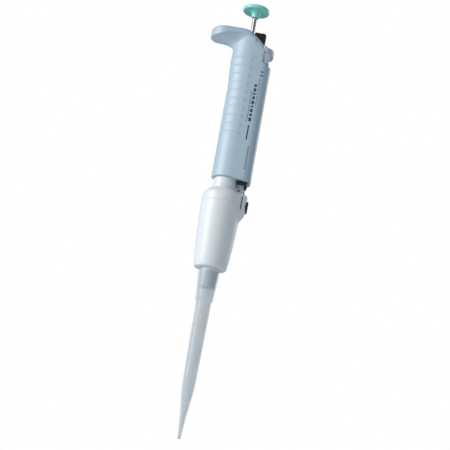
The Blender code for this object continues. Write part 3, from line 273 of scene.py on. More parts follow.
@dataclass(frozen=True)
class Clear:
    """Clear or frosted plastic with a faint cloud in it."""

    name: str
    colour: Point3
    roughness: float
    transmission: float
    ior: float = 1.49
    wave_depth: float = 0.00002
    alpha: float = 1.0
    alpha_cloud: float = 0.08
    cloud_scale: float = 90.0
    cloud_shade: float = 0.965
    cloud_share: float = 0.06
    drawn_stretch: Point3 = (900.0, 900.0, 25.0)

    def make(self) -> bpy.types.Material:
        """Builds the material."""
        wiring = Wiring(self.name)
        where = wiring.place()
        cloud = wiring.noise(where, self.cloud_scale, 2.0)
        base = wiring.blend(cloud, tone(self.colour, 1.0), tone(self.colour, self.cloud_shade))
        lines = wiring.noise(wiring.place(self.drawn_stretch), 1.0, 2.0)
        roughness = self.roughness + self.cloud_share * (cloud - 0.5)
        normal = wiring.bump(lines, self.wave_depth, 0.5)
        wiring.set(Base_Color=base, Roughness=roughness, Normal=normal)
        wiring.set(Transmission_Weight=self.transmission, IOR=self.ior)
        if self.alpha < 1.0:
            wiring.set(Alpha=self.alpha + self.alpha_cloud * (cloud - 0.5))
        return wiring.material


@dataclass(frozen=True)
class Rubber:
    """Matt seal rubber with a bloom on it."""

    name: str
    colour: Point3
    roughness: float = 0.62
    bloom_scale: float = 260.0
    bloom_tone: float = 2.2
    bloom_share: float = 0.2
    grain: float = 3200.0
    grain_depth: float = 0.00002

    def make(self) -> bpy.types.Material:
        """Builds the material."""
        wiring = Wiring(self.name)
        where = wiring.place()
        bloom = wiring.noise(where, self.bloom_scale, 4.0, 0.6)
        base = wiring.blend(bloom, tone(self.colour, 1.0), tone(self.colour, self.bloom_tone))
        normal = wiring.bump(wiring.noise(where, self.grain, 2.0), self.grain_depth)
        roughness = self.roughness + self.bloom_share * bloom
        wiring.set(Base_Color=base, Roughness=roughness, Normal=normal)
        return wiring.material


Finish = Plastic | Metal | Clear | Rubber

SHELL_BLUE = Plastic("grip_blue", (0.46, 0.59, 0.69), 0.42, shade=0.965, coat=0.4)
MINT = Plastic("button_mint", (0.26, 0.80, 0.74), 0.28, grain_depth=0.000004, coat=0.5, subsurface=0.1)
WHITE = Plastic("sleeve_white", (0.82, 0.86, 0.905), 0.36, grain_depth=0.000006, shade=0.975)
BLACK = Plastic("moulded_black", (0.009, 0.010, 0.013), 0.44, rub=0.16, shade=0.6)
GREY = Plastic("link_grey", (0.52, 0.56, 0.60), 0.42, shade=0.93)
INK = Plastic("print_ink", (0.05, 0.075, 0.11), 0.5, shade=0.8)
DIGIT_INK = Plastic("digit_ink", (0.015, 0.015, 0.02), 0.5, shade=0.8)
WHEEL_WHITE = Plastic("wheel_white", (0.88, 0.88, 0.86), 0.4, grain_depth=0.000004)
TIP_CLEAR = Clear("tip_polypropylene", (0.58, 0.67, 0.74), 0.16, 0.0, alpha=0.33)
PANE_CLEAR = Clear("window_clear", (0.97, 0.985, 0.99), 0.05, 1.0, wave_depth=0.000004)
STEEL = Metal("rod_ground", (0.5, 0.5, 0.5), 0.26)
PRESSED_STEEL = Metal("steel_pressed", (0.58, 0.58, 0.58), 0.32, (900.0, 900.0, 900.0), 0.000003)
SPRING_WIRE = Metal("spring_wire", (0.5, 0.5, 0.51), 0.28, (700.0, 700.0, 2500.0))
BRASS = Metal("screw_turned", (0.74, 0.55, 0.28), 0.27)
RUBBER = Rubber("seal_black", (0.022, 0.022, 0.024))


class Paintbox:
    """Makes each finish once and hands it out."""

    def __init__(self) -> None:
        """Starts with no material made."""
        self.made: dict[str, bpy.types.Material] = {}

    def get(self, finish: Finish) -> bpy.types.Material:
        """The finish's material."""
        if finish.name not in self.made:
            self.made[finish.name] = finish.make()
        return self.made[finish.name]

    def dress(self, item: bpy.types.Object, finish: Finish) -> None:
        """Gives an object one finish in place of what it has."""
        item.data.materials.clear()
        item.data.materials.append(self.get(finish))


PAINTS = Paintbox()


# Outlines

SIDE_SHARE = 0.49
SMOOTH_ANGLE = 32.0
SOFTENED_ANGLE = 40.0
WELD_REACH = 0.001


def rounded(points: Sequence[Point2], radius: float, closed: bool = True, steps: int = 4) -> list[Point2]:
    """Rounds the corners of an outline.

    Args:
        points: the corners in order.
        radius: how far each rounding starts from its corner, at most.
        closed: whether the last point joins the first.
        steps: the points of each rounding, less one.

    Returns:
        The rounded outline.
    """
    result: list[Point2] = []
    count = len(points)
    for i, corner in enumerate(points):
        if not closed and i in (0, count - 1):
            result.append(corner)
            continue
        here = Vector(corner)
        back = Vector(points[i - 1]) - here
        ahead = Vector(points[(i + 1) % count]) - here
        reach = min(radius, back.length * SIDE_SHARE, ahead.length * SIDE_SHARE)
        first, last = here + back.normalized() * reach, here + ahead.normalized() * reach
        for k in range(steps + 1):
            t = k / steps
            bend = first * (1 - t) ** 2 + here * (2 * t * (1 - t)) + last * t**2
            result.append((bend.x, bend.y))
    return result


def around(count: int) -> list[float]:
    """Evenly spaced angles round a circle."""
    return [2 * math.pi * i / count for i in range(count)]


def ease(value: float) -> float:
    """Smooth step from 0 to 1."""
    value = max(0.0, min(1.0, value))
    return value * value * (3 - 2 * value)


def between(start: float, end: float, share: float) -> float:
    """A value part of the way from a start to an end."""
    return start + (end - start) * share


def levels(low: float, high: float, count: int) -> list[float]:
    """Evenly spaced heights, with both ends."""
    return [between(low, high, i / (count - 1)) for i in range(count)]


# The modelling bench


class Bench:
    """One new object, shaped ring by ring with Blender's own tools."""

    SLOT = "around"

    def __init__(self, name: str, ring: Sequence[Point3], filled: bool = True) -> None:
        """Adds a circle and lays its points on the first ring.

        Args:
            name: the object's name.
            ring: the places of the first ring's points.
            filled: whether the circle has a face, so that the drawn-out form is a closed solid.
        """
        leave_edit()
        bpy.ops.object.select_all(action="DESELECT")
        fill = "NGON" if filled else "NOTHING"
        bpy.ops.mesh.primitive_circle_add(vertices=len(ring), radius=MM, fill_type=fill)
        self.item = bpy.context.object
        self.item.name = name
        self.item.data.name = name
        self.filled = filled
        bpy.ops.object.mode_set(mode="EDIT")
        mesh = bmesh.from_edit_mesh(self.item.data)
        layer = mesh.verts.layers.int.new(self.SLOT)
        mesh.verts.ensure_lookup_table()
        for i, vert in enumerate(mesh.verts):
            vert[layer] = i
        self._lay(ring)

    def _lay(self, ring: Sequence[Point3]) -> None:
        """Moves the selected ring's points to their places."""
        mesh = bmesh.from_edit_mesh(self.item.data)
        layer = mesh.verts.layers.int[self.SLOT]
        for vert in mesh.verts:
            if vert.select:
                vert.co = Vector(ring[vert[layer]]) * MM
        bmesh.update_edit_mesh(self.item.data)

    def extrude(self, ring: Sequence[Point3]) -> "Bench":
        """Extrudes the open end and lays it on the next ring."""
        bpy.ops.mesh.extrude_region_move()
        self._lay(ring)
        return self

    def extrude_all(self, rings: Iterable[Sequence[Point3]]) -> "Bench":
        """Extrudes through several rings."""
        for ring in rings:
            self.extrude(ring)
        return self

    def join_ends(self) -> "Bench":
        """Bridges the last ring to the first one, as a tube's two ends."""
        bpy.ops.mesh.select_all(action="DESELECT")
        bpy.ops.mesh.select_non_manifold()
        bpy.ops.mesh.bridge_edge_loops()
        return self

    def done(self, angle: float = SMOOTH_ANGLE) -> bpy.types.Object:
        """Closes the mesh, turns its faces outwards and shades it smooth below an angle."""
        bpy.ops.mesh.select_all(action="SELECT")
        bpy.ops.mesh.remove_doubles(threshold=MM * WELD_REACH)
        bpy.ops.mesh.normals_make_consistent(inside=False)
        leave_edit()
        data = self.item.data
        data.attributes.remove(data.attributes[self.SLOT])
        shade(self.item, angle)
        return self.item


def leave_edit() -> None:
    """Goes back to object mode."""
    if bpy.context.mode != "OBJECT":
        bpy.ops.object.mode_set(mode="OBJECT")


def pick(item: bpy.types.Object) -> None:
    """Makes one object the only selected and active one."""
    leave_edit()
    bpy.ops.object.select_all(action="DESELECT")
    item.select_set(True)
    bpy.context.view_layer.objects.active = item


def shade(item: bpy.types.Object, angle: float = SMOOTH_ANGLE) -> None:
    """Shades an object smooth, with its steep edges sharp."""
    pick(item)
    bpy.ops.object.shade_smooth_by_angle(angle=math.radians(angle))


def carve(item: bpy.types.Object, cutters: Sequence[bpy.types.Object], angle: float = SMOOTH_ANGLE) -> None:
    """Takes cutters out of an object and removes them."""
    combine(item, cutters, "DIFFERENCE", angle)


def weld(item: bpy.types.Object, others: Sequence[bpy.types.Object], angle: float = SMOOTH_ANGLE) -> None:
    """Joins others to an object and removes them."""
    combine(item, others, "UNION", angle)


def combine(item: bpy.types.Object, others: Sequence[bpy.types.Object], operation: str, angle: float) -> None:
    """Applies one Boolean with each of the others in turn."""
    for other in others:
        pick(item)
        step = item.modifiers.new(operation.lower(), "BOOLEAN")
        step.operation = operation
        step.solver = "EXACT"
        step.object = other
        bpy.ops.object.modifier_apply(modifier=step.name)
        bpy.data.objects.remove(other, do_unlink=True)
    shade(item, angle)


def soften(item: bpy.types.Object, width: float, segments: int = 3, limit: float = 35.0) -> None:
    """Rounds the steep edges of an object by a width in millimetres."""
    pick(item)
    step = item.modifiers.new("soften", "BEVEL")
    step.width = width * MM
    step.segments = segments
    step.limit_method = "ANGLE"
    step.angle_limit = math.radians(limit)
    step.harden_normals = False
    bpy.ops.object.modifier_apply(modifier=step.name)
    shade(item, SOFTENED_ANGLE)


def circle_ring(radius: float, height: float, count: int) -> list[Point3]:
    """A level ring of points round the plunger axis."""
    return [(radius * math.cos(angle), radius * math.sin(angle), height) for angle in around(count)]


def turned(name: str, profile: Sequence[Point2], count: int = 72) -> bpy.types.Object:
    """A solid turned about the plunger axis.

    Args:
        name: the object's name.
        profile: (radius, height) points from one end to the other, clear of the axis.
        count: the points around.

    Returns:
        The object, closed by a flat face at each end.
    """
    rings = [circle_ring(radius, height, count) for radius, height in profile]
    return Bench(name, rings[0]).extrude_all(rings[1:]).done()


def tube(name: str, profile: Sequence[Point2], count: int = 72) -> bpy.types.Object:
    """A hollow turned form whose profile is a closed loop clear of the axis."""
    rings = [circle_ring(radius, height, count) for radius, height in profile]
    return Bench(name, rings[0], filled=False).extrude_all(rings[1:]).join_ends().done()


def box_outline(left: float, low: float, right: float, high: float) -> list[Point2]:
    """The four corners of an upright rectangle."""
    return [(left, low), (right, low), (right, high), (left, high)]


def drawn(name: str, outline: Sequence[Point2], low: float, high: float, axis: Axis) -> bpy.types.Object:
    """A flat outline drawn out along an axis between two places.

    Args:
        name: the object's name.
        outline: the points, as the two coordinates that are not the axis', in their usual order.
        low: where it starts.
        high: where it ends.
        axis: the direction it is drawn along.

    Returns:
        The closed solid.
    """

    def ring(place: float) -> list[Point3]:
        """The outline at one place."""
        rows = []
        for first, second in outline:
            row = [first, second]
            row.insert(axis.value, place)
            rows.append(tuple(row))
        return rows

    return Bench(name, ring(low)).extrude(ring(high)).done()


def block(name: str, low: Point3, high: Point3) -> bpy.types.Object:
    """A plain block between two corners, used as a cutter or a start."""
    return drawn(name, box_outline(low[0], low[1], high[0], high[1]), low[2], high[2], Axis.Z)


def span(node: str) -> tuple[Vector, Vector]:
    """A CAD node's corners in millimetres."""
    low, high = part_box(node)
    return low / MM, high / MM


def place_piece(item: bpy.types.Object, finish: Finish, body: str, slot: Slot, *nodes: str) -> None:
    """Dresses a finished piece, lets it ride on its body and hides the frame nodes it takes the place of."""
    leave_edit()
    PAINTS.dress(item, finish)
    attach(item, body)
    if nodes:
        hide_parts(*nodes)
    LOG.info("%s: %d faces, rides on %s", item.name, len(item.data.polygons), body)


def dress_node(frame: dict, node: str, finish: Finish) -> None:
    """Gives a CAD node that stays a finish."""
    item = frame["nodes"][node]
    PAINTS.dress(item, finish)
    LOG.info("%s keeps its shape", node)


LEVER_SWING = 24.0


# The grip


@dataclass
class Grip:
    """The grip housing with its finger hook, dome and ribs, and the cover on its display side."""

    half_depth: float = 13.0
    flat_start: float = 4.0
    nose_round: float = 8.0
    nose_face: float = 20.9
    left: float = 12.5
    swell: float = 1.3
    wall: float = 1.6
    roof: float = 2.2
    bottom_fall: float = 0.12
    bottom_fall_start: float = 1.0
    bottom_fall_end: float = 16.0
    rib_first: float = 38.0
    rib_pitch: float = 7.5
    rib_count: int = 10
    rib_proud: float = 0.42
    rib_half: float = 2.0
    rib_steps: tuple[float, ...] = (-1.8, -1.4, -0.9, -0.4, 0.0, 0.4, 0.9, 1.4, 1.8, 2.6, 3.75, 4.9)
    knob_place: float = 2.6
    knob_half: float = 0.8
    knob_proud: float = 0.5
    dome_fall: float = 10.5
    dome_start: float = -4.0
    dome_length: float = 16.1
    dome_level: float = 13.0
    dome_power: float = 1.7
    hook_sink: float = 0.7
    hook_sink_start: float = -17.0
    hook_sink_length: float = 13.0
    arch_fall: float = 5.0
    rim_rise_length: float = 24.0
    rim_fall: float = 2.5
    rim_fall_start: float = -10.0
    rim_fall_length: float = 14.0
    band_least: float = 1.5
    edge_round: float = 1.8
    edge_hook_round: float = 0.3
    edge_dome_round: float = 2.6
    edge_dome_start: float = -8.0
    edge_dome_length: float = 12.0
    crown_hook: float = 0.7
    crown_dome: float = 2.6
    crown_start: float = -6.0
    crown_length: float = 11.0
    rib_share: float = 0.65
    rib_end: float = 2.8
    rib_fade: float = 2.0
    rib_power: float = 1.2
    swell_start: float = 0.6
    swell_length: float = 0.18
    corner_left: float = 12.1
    corner_drop: float = 23.5
    corner_fall: float = 5.0
    corner_reach: float = 16.0
    foot_round: float = 0.7
    lip_round: float = 0.8
    flare_steps: int = 30
    flare_split: float = 0.25
    flare_power: float = 3.6
    flare_rise_power: float = 0.9
    crown_steps: tuple[float, ...] = (0.06, 0.16, 0.3, 0.45, 0.6, 0.74, 0.86, 0.95, 0.995)
    crown_middle: float = -4.0
    cover_gap: float = 0.12
    cover_lift: float = 1.2
    bezel_half: float = 4.9
    bezel_margin: float = 1.4
    window_half: float = 4.0
    window_margin: float = 0.3
    hook_half: float = 12.8
    hook_rim_low: float = 9.8
    hook_rim_rise: float = 4.2
    hook_drop: float = 11.0
    round_steps: int = 72
    flat_steps: int = 14
    end_steps: int = 8
    low: float = field(init=False)
    top: float = field(init=False)
    right: float = field(init=False)
    hook_end: float = field(init=False)

    def __post_init__(self) -> None:
        """Reads where the frame puts the housing."""
        low, high = span("grip_housing")
        self.low, self.top = low.z, high.z
        self.right, self.hook_end = high.x, low.x

    def dome(self, x: float) -> float:
        """The height of the top over a place, level again over the ejector's corner."""
        along = max(0.0, min(x, self.dome_level) - self.dome_start) / self.dome_length
        back = max(0.0, self.hook_sink_start - x) / self.hook_sink_length
        return self.top - self.dome_fall * along**self.dome_power - self.hook_sink * back**2

    def bottom(self, x: float) -> float:
        """The height of the bottom edge, which falls towards the display side."""
        along = max(0.0, min(x, self.bottom_fall_end) - self.bottom_fall_start)
        return self.low - self.bottom_fall * along

    def half_width(self, x: float) -> float:
        """Half the section's width at a place, rounded towards the narrow display face."""
        into = max(0.0, x - (self.nose_face - self.nose_round))
        inward = self.nose_round - math.sqrt(max(0.0, self.nose_round**2 - into**2))
        return self.half_depth - inward

    def arch(self, y: float) -> float:
        """How much the ejector's button and its corner fall towards the sides."""
        return self.arch_fall * (y / self.half_depth) ** 2

    def plan(self) -> list[tuple[str, float]]:
        """Where each point of a ring lies: on the end, on a flat side or on the rounded side."""
        marks = [("end", -1 + 2 * i / self.end_steps) for i in range(self.end_steps)]
        marks += [("far", 1 - i / self.flat_steps) for i in range(self.flat_steps)]
        marks += [("round", i / self.round_steps) for i in range(self.round_steps + 1)]
        marks += [("near", i / self.flat_steps) for i in range(1, self.flat_steps)]
        return marks

    def body_point(self, mark: tuple[str, float], swell: float, inset: float) -> Point2:
        """A point of the grip's section.

        Args:
            mark: the point's place in the plan.
            swell: how much further the rounded side reaches.
            inset: how far the point lies inside the surface.

        Returns:
            The point's x and y.
        """
        zone, share = mark
        start = self.flat_start
        if zone == "end":
            return self.right, share * (self.half_width(self.right) - inset)
        if zone in ("far", "near"):
            side = 1 if zone == "far" else -1
            x = between(start, self.right, share)
            return x, side * (self.half_width(x) - inset)
        depth = self.half_depth - inset
        angle = math.pi / 2 + math.pi * share
        reach = self.left + start + swell - inset
        return start + reach * math.cos(angle), depth * math.sin(angle)

    def rim_point(self, mark: tuple[str, float], inset: float) -> Point2:
        """A point of the hook's plan: straight sides and a round end."""
        zone, share = mark
        if zone != "round":
            return self.body_point(mark, 0.0, inset)
        half = self.hook_half
        middle = self.hook_end + half
        straight = self.flat_start - middle
        whole = straight + half * math.pi / 2
        side = 1 if share <= 0.5 else -1
        path = whole * (share if share <= 0.5 else 1 - share) * 2
        if path <= straight:
            width = between(self.half_depth, half, path / straight) - inset
            return self.flat_start - path, side * width
        angle = (path - straight) / half
        radius = half - inset
        return middle - radius * math.sin(angle), side * radius * math.cos(angle)

    def reach(self, mark: tuple[str, float]) -> float:
        """How far the hook's rim stands out from the grip at a point, from 0 to 1."""
        body, rim = self.body_point(mark, self.swell, 0.0), self.rim_point(mark, 0.0)
        return math.dist(body, rim) / (-self.hook_end - self.left - self.swell)

    def rim_low(self, mark: tuple[str, float]) -> float:
        """The height of the rim's lower edge."""
        x = self.rim_point(mark, 0.0)[0]
        if mark[0] == "round":
            rise = self.hook_rim_rise * ease((x - self.hook_end) / self.rim_rise_length)
            fall = self.rim_fall * ease((x - self.rim_fall_start) / self.rim_fall_length)
            return self.top - self.hook_rim_low + rise - fall
        return self.dome(x) - self.crown(x, self.half_depth) - self.edge_radius(mark) - self.band_least

    def edge_radius(self, mark: tuple[str, float]) -> float:
        """The rounding of the top edge."""
        x = self.rim_point(mark, 0.0)[0]
        over_dome = self.edge_dome_round * ease((x - self.edge_dome_start) / self.edge_dome_length)
        return self.edge_round + self.edge_hook_round * self.reach(mark) + over_dome

    def rib(self, height: float) -> float:
        """How much a rib swells at a height, from 0 to 1."""
        place = (height - self.low - self.rib_first) / self.rib_pitch
        nearest = max(0, min(self.rib_count - 1, round(place)))
        offset = abs(place - nearest) * self.rib_pitch / self.rib_half
        return math.cos(min(1.0, offset) * math.pi / 2) ** self.rib_power

    def rib_width(self, mark: tuple[str, float]) -> float:
        """How proud the ribs are at a point around, with a knob at each end."""
        if mark[0] != "round":
            return 0.0
        x = self.body_point(mark, 0.0, 0.0)[0]
        knob = self.knob_proud * math.exp(-(((x - self.knob_place) / self.knob_half) ** 2))
        return (self.rib_share + knob) * (1 - ease((x - self.rib_end) / self.rib_fade))

    def body_rings(self) -> list[list[Point3]]:
        """The rings from the bottom edge to the neck."""
        marks = self.plan()
        rings = []
        for step in range(5):
            turn = step / 4 * math.pi / 2
            inset, lift = self.foot_round * (1 - math.sin(turn)), self.foot_round * (1 - math.cos(turn))
            points = [self.body_point(mark, 0.0, inset) for mark in marks]
            rings.append([(x, y, self.bottom(x) + lift) for x, y in points])
        start = self.low + self.rib_first - self.rib_half
        for height in levels(self.low + 4.0, start, 5):
            rings.append(self.body_ring(marks, height, start))
        for i in range(self.rib_count):
            middle = self.low + self.rib_first + i * self.rib_pitch
            for offset in self.rib_steps:
                rings.append(self.body_ring(marks, middle + offset, start))
        return rings

    def body_ring(self, marks: list[tuple[str, float]], height: float, start: float) -> list[Point3]:
        """One level ring of the grip, which leans towards the sloping bottom below a start height."""
        share = (height - self.low) / (self.top - self.low)
        swell = self.swell * ease((share - self.swell_start) / self.swell_length)
        ring = []
        for mark in marks:
            proud = self.rib_proud * self.rib(height) * self.rib_width(mark)
            x, y = self.body_point(mark, swell, -proud)
            slant = max(0.0, (start - height) / (start - self.low))
            ring.append((x, y, height + (self.bottom(x) - self.low) * slant))
        return ring

    def flare_rings(self) -> list[list[Point3]]:
        """The rings from the neck out to the rim, over its edge and in to the middle of the dome."""
        marks = self.plan()
        start = self.low + self.rib_first + (self.rib_count - 1) * self.rib_pitch + 5.5
        rings = []
        for step in range(1, self.flare_steps + 1):
            path = step / self.flare_steps
            rings.append([self.flare_point(mark, start, path) for mark in marks])
        for step in range(1, 5):
            turn = step / 4 * math.pi / 2
            rings.append([self.rim_turn(mark, turn) for mark in marks])
        for share in (0.35, 0.7):
            rings.append([self.band_point(mark, share) for mark in marks])
        for step in range(8):
            turn = step / 7 * math.pi / 2
            rings.append([self.edge_turn(mark, turn) for mark in marks])
        for share in self.crown_steps:
            rings.append([self.crown_point(mark, share) for mark in marks])
        return rings

    def lip(self, mark: tuple[str, float]) -> float:
        """The rounding of the rim's lower edge, smaller where the rim hardly stands out."""
        body = Vector(self.body_point(mark, self.swell, 0.0))
        rim = Vector(self.rim_point(mark, 0.0))
        outward = rim - Vector(self.rim_point(mark, 1.0))
        return max(0.0, min(self.lip_round, 0.5 * (rim - body).dot(outward)))

    def flare_point(self, mark: tuple[str, float], start: float, path: float) -> Point3:
        """A point on the way from the neck to the rim's lower edge."""
        body = Vector(self.body_point(mark, self.swell, 0.0))
        rim = Vector(self.rim_point(mark, self.lip(mark)))
        low = self.rim_low(mark)
        foot = low - self.hook_drop * self.reach(mark) ** 0.75
        foot = max(foot, start)
        split = self.flare_split
        if path <= split:
            return body.x, body.y, between(start, foot, path / split)
        path = (path - split) / (1 - split)
        place = body.lerp(rim, path**self.flare_power)
        return place.x, place.y, foot + (low - foot) * path**self.flare_rise_power

    def rim_turn(self, mark: tuple[str, float], turn: float) -> Point3:
        """A point on the rounding of the rim's lower edge."""
        lip = self.lip(mark)
        x, y = self.rim_point(mark, lip * (1 - math.sin(turn)))
        return x, y, self.rim_low(mark) + lip * (1 - math.cos(turn))

    def band_point(self, mark: tuple[str, float], share: float) -> Point3:
        """A point on the rim's upright band."""
        x, y = self.rim_point(mark, 0.0)
        low = self.rim_low(mark) + self.lip(mark)
        return x, y, between(low, self.dome(x) - self.crown(x, y) - self.edge_radius(mark), share)

    def edge_turn(self, mark: tuple[str, float], turn: float) -> Point3:
        """A point on the rounding of the top edge."""
        radius = self.edge_radius(mark)
        x, y = self.rim_point(mark, radius * (1 - math.cos(turn)))
        return x, y, self.dome(x) - radius * (1 - math.sin(turn)) - self.crown(x, y)

    def crown(self, x: float, y: float) -> float:
        """How much the top falls towards the sides."""
        over_dome = self.crown_dome * ease((x - self.crown_start) / self.crown_length)
        return (self.crown_hook + over_dome) * (y / self.half_depth) ** 2

    def crown_point(self, mark: tuple[str, float], share: float) -> Point3:
        """A point on the top, between its edge and its middle."""
        x, y = self.rim_point(mark, self.edge_radius(mark))
        x, y = between(x, self.crown_middle, share), between(y, 0.0, share)
        return x, y, self.dome(x) - self.crown(x, y)

    def cavity(self) -> bpy.types.Object:
        """The room inside the grip, open towards the cover."""
        every = 3
        marks = []
        for zone, share in self.plan():
            if zone != "round" or round(share * self.round_steps) % every == 0:
                marks.append((zone, share))

        def ring(height: float, share: float) -> list[Point3]:
            """A ring of the room's wall, or of its roof when it is drawn in."""
            points = []
            for mark in marks:
                x, y = self.body_point(mark, 0.0, self.wall)
                x = x + 2.0 if mark[0] == "end" else x
                x, y = between(x, 0.0, share), between(y, 0.0, share)
                roof = self.dome(x) - self.roof - self.crown(x, y)
                points.append((x, y, min(height, roof)))
            return points

        rings = [ring(height, 0.0) for height in (self.low + self.wall, self.low + 60.0, self.top + 5.0)]
        rings += [ring(self.top + 5.0, share) for share in (0.15, 0.35, 0.55, 0.75, 0.92)]
        return Bench("grip_room", rings[0]).extrude_all(rings[1:]).done()

    def corner(self) -> bpy.types.Object:
        """The arched corner in which the ejector's button moves."""
        left, high = self.corner_left, self.top - self.corner_drop
        right = self.right + 3.0
        low = high - self.corner_fall * (right - left) / (self.nose_face - left)
        rings = []
        for y in levels(-self.corner_reach, self.corner_reach, 17):
            down = self.arch(y)
            side = [(left, high - down), (right, low - down), (right, self.top + 9.0), (left, self.top + 9.0)]
            rings.append([(x, y, z) for x, z in side])
        return Bench("corner_cut", rings[0]).extrude_all(rings[1:]).done()

    def openings(self) -> list[bpy.types.Object]:
        """What is cut out of the housing."""
        low, top, right = self.low, self.top, self.right
        cutters = [self.cavity(), self.corner()]
        cutters.append(turned("neck_cut", [(9.4, low - 2.0), (9.4, low + 4.0)]))
        guide = GuideBlock()
        opening_low = (guide.left - 0.2, -guide.half_width - 0.2, low - 8.0)
        opening_high = (right + 3.0, guide.half_width + 0.2, low + 2.4)
        cutters.append(block("block_cut", opening_low, opening_high))
        cutters.append(turned("bush_cut", [(3.5, top - 14.0), (3.5, top + 3.0)], 48))
        return cutters

    def lever_room(self) -> list[bpy.types.Object]:
        """The sunk path over which the lock lever swings, and the slot for its stem."""
        lever_high = span("lock_lever")[1]
        near, far, under = 1.4, lever_high.x + 0.7, 0.5
        floor = [(x, self.dome(x) - under) for x in (near, 4.5, 9.0)]
        side = [*floor, (far, self.dome(9.0) - under - 0.8), (far, self.top + 5.0), (near, self.top + 5.0)]
        stem = box_outline(4.0, self.top - 12.0, 7.2, self.top + 2.0)
        return [swept("lever_path", side, lever_high.y - 3.3), swept("stem_path", stem, 1.8)]

    def seam_slot(self) -> bpy.types.Object:
        """The small slot at the foot of the ejector button's seam."""
        high = self.top - 18.4
        side = rounded([(11.6, high - 5.0), (12.5, high - 5.2), (12.5, high), (11.6, high)], 0.35)
        return drawn("seam_slot", side, -14.0, -10.6, Axis.Y)

    def build(self) -> None:
        """Builds the housing."""
        rings = self.body_rings() + self.flare_rings()
        shell = Bench("grip_shell", rings[0]).extrude_all(rings[1:]).done()
        carve(shell, self.openings() + self.lever_room() + [self.seam_slot()], 38.0)
        place_piece(shell, SHELL_BLUE, "housing", Slot.SHELL, "grip_housing")

    def build_cover(self) -> None:
        """Builds the cover with its rounded shoulder and its sunk window bezel."""
        cover_corner, cover_high = span("front_cover")
        cover_low = cover_corner.z + self.cover_lift
        left, right = self.right + self.cover_gap, cover_high.x
        marks = [between(-1.0, 1.0, i / 24) for i in range(25)]

        def ring(height: float, inset: float) -> list[Point3]:
            """A level ring of the cover, with its outer face moved in."""
            half = self.half_width(left) - inset
            outline = []
            for mark in marks:
                y = -half * mark
                beyond = max(0.0, abs(y) - (self.half_depth - self.nose_round) + inset)
                x = right - self.nose_round + math.sqrt(self.nose_round**2 - beyond**2) - inset
                outline.append((max(x, left + 0.05), y))
            outline += [(left, -half), (left, half)]
            slant = max(0.0, 1 - (height - cover_low) / 30.0)
            drop = self.arch(half) * ease((height - cover_high.z + 14.0) / 14.0)
            return [
                (x, y, height + (self.bottom(x) - self.low) * slant - drop * (y / half) ** 2)
                for x, y in outline
            ]

        rings = [ring(cover_low, 0.45), ring(cover_low + 0.15, 0.15), ring(cover_low + 0.5, 0.0)]
        rings += [ring(height, 0.0) for height in levels(cover_low + 8.0, cover_high.z - 2.0, 14)]
        for k in range(1, 7):
            turn = k / 6 * math.pi / 2
            rings.append(ring(cover_high.z - 2.0 + 2.0 * math.sin(turn), 1.6 * (1 - math.cos(turn))))
        cover = Bench("grip_cover", rings[0]).extrude_all(rings[1:]).done()
        pane_low, pane_high = span("display_window")
        frame_low, frame_high = pane_low.z - self.bezel_margin, pane_high.z + self.bezel_margin
        bezel = box_outline(-self.bezel_half, frame_low, self.bezel_half, frame_high)
        frame_low, frame_high = pane_low.z - self.window_margin, pane_high.z + self.window_margin
        opening = box_outline(-self.window_half, frame_low, self.window_half, frame_high)
        bezel, opening = rounded(bezel, 1.4), rounded(opening, 0.3)
        cutters = [drawn("bezel_cut", bezel, right - 0.35, right + 2.0, Axis.X)]
        cutters.append(drawn("window_cut", opening, left - 1.0, right + 1.0, Axis.X))
        carve(cover, cutters, 38.0)
        place_piece(cover, SHELL_BLUE, "housing", Slot.SHELL, "front_cover")

    def build_bush(self) -> None:
        """Builds the rod's bush with its rounded lip."""
        low, high = span("rod_bush")
        outer, bore, bevel = high.x, 2.2, 0.3
        profile = [(bore, low.z), (outer, low.z), (outer, high.z - bevel), (outer - bevel, high.z)]
        profile += [(bore + bevel, high.z), (bore, high.z - bevel)]
        place_piece(tube("dome_bush", profile, 48), BLACK, "housing", Slot.BLACK, "rod_bush")

    @staticmethod
    def dash_row(x: float, start: float, width: float, pitch: float, lengths: Sequence[float]) -> list[tuple]:
        """A row of evenly spaced dashes, each with its place, start, width and length."""
        row = []
        for length in lengths:
            row.append((x, start, width, length))
            start += pitch
        return row

    def build_print(self) -> None:
        """Prints the plain marks on the near side: a bar, a row of blocks and rows of dashes."""
        face, low = -self.half_depth, self.low
        marks = [(10.7, low + 33.5, 1.1, 13.0)]
        place = low + 50.0
        for length in (3.4, 2.2, 3.0, 1.6, 3.2, 2.6, 1.8, 3.0, 2.4):
            marks.append((10.7, place, 2.2, length))
            place += length + 1.3
        small = (0.9, 1.4, 1.9)
        marks += self.dash_row(8.3, low + 50.0, 0.7, 2.2, [small[i % 3] for i in range(13)])
        marks += self.dash_row(13.3, low + 64.0, 0.7, 2.1, [0.8 + 0.6 * (i % 2) for i in range(12)])
        marks += self.dash_row(13.6, low + 8.0, 1.2, 2.1, [0.9] * 10)
        marks += [(13.9, low + 91.5, 2.6, 1.0), (13.9, low + 95.0, 2.6, 1.0)]
        dashes = []
        for x, start, width, length in marks:
            corners = box_outline(x - width / 2, start, x + width / 2, start + length)
            outline = rounded(corners, 0.3, steps=3)
            dashes.append(drawn("dash", outline, face - 0.04, face + 0.02, Axis.Y))
        printed = join_all("side_marks", dashes)
        place_piece(printed, INK, "housing", Slot.BLACK)


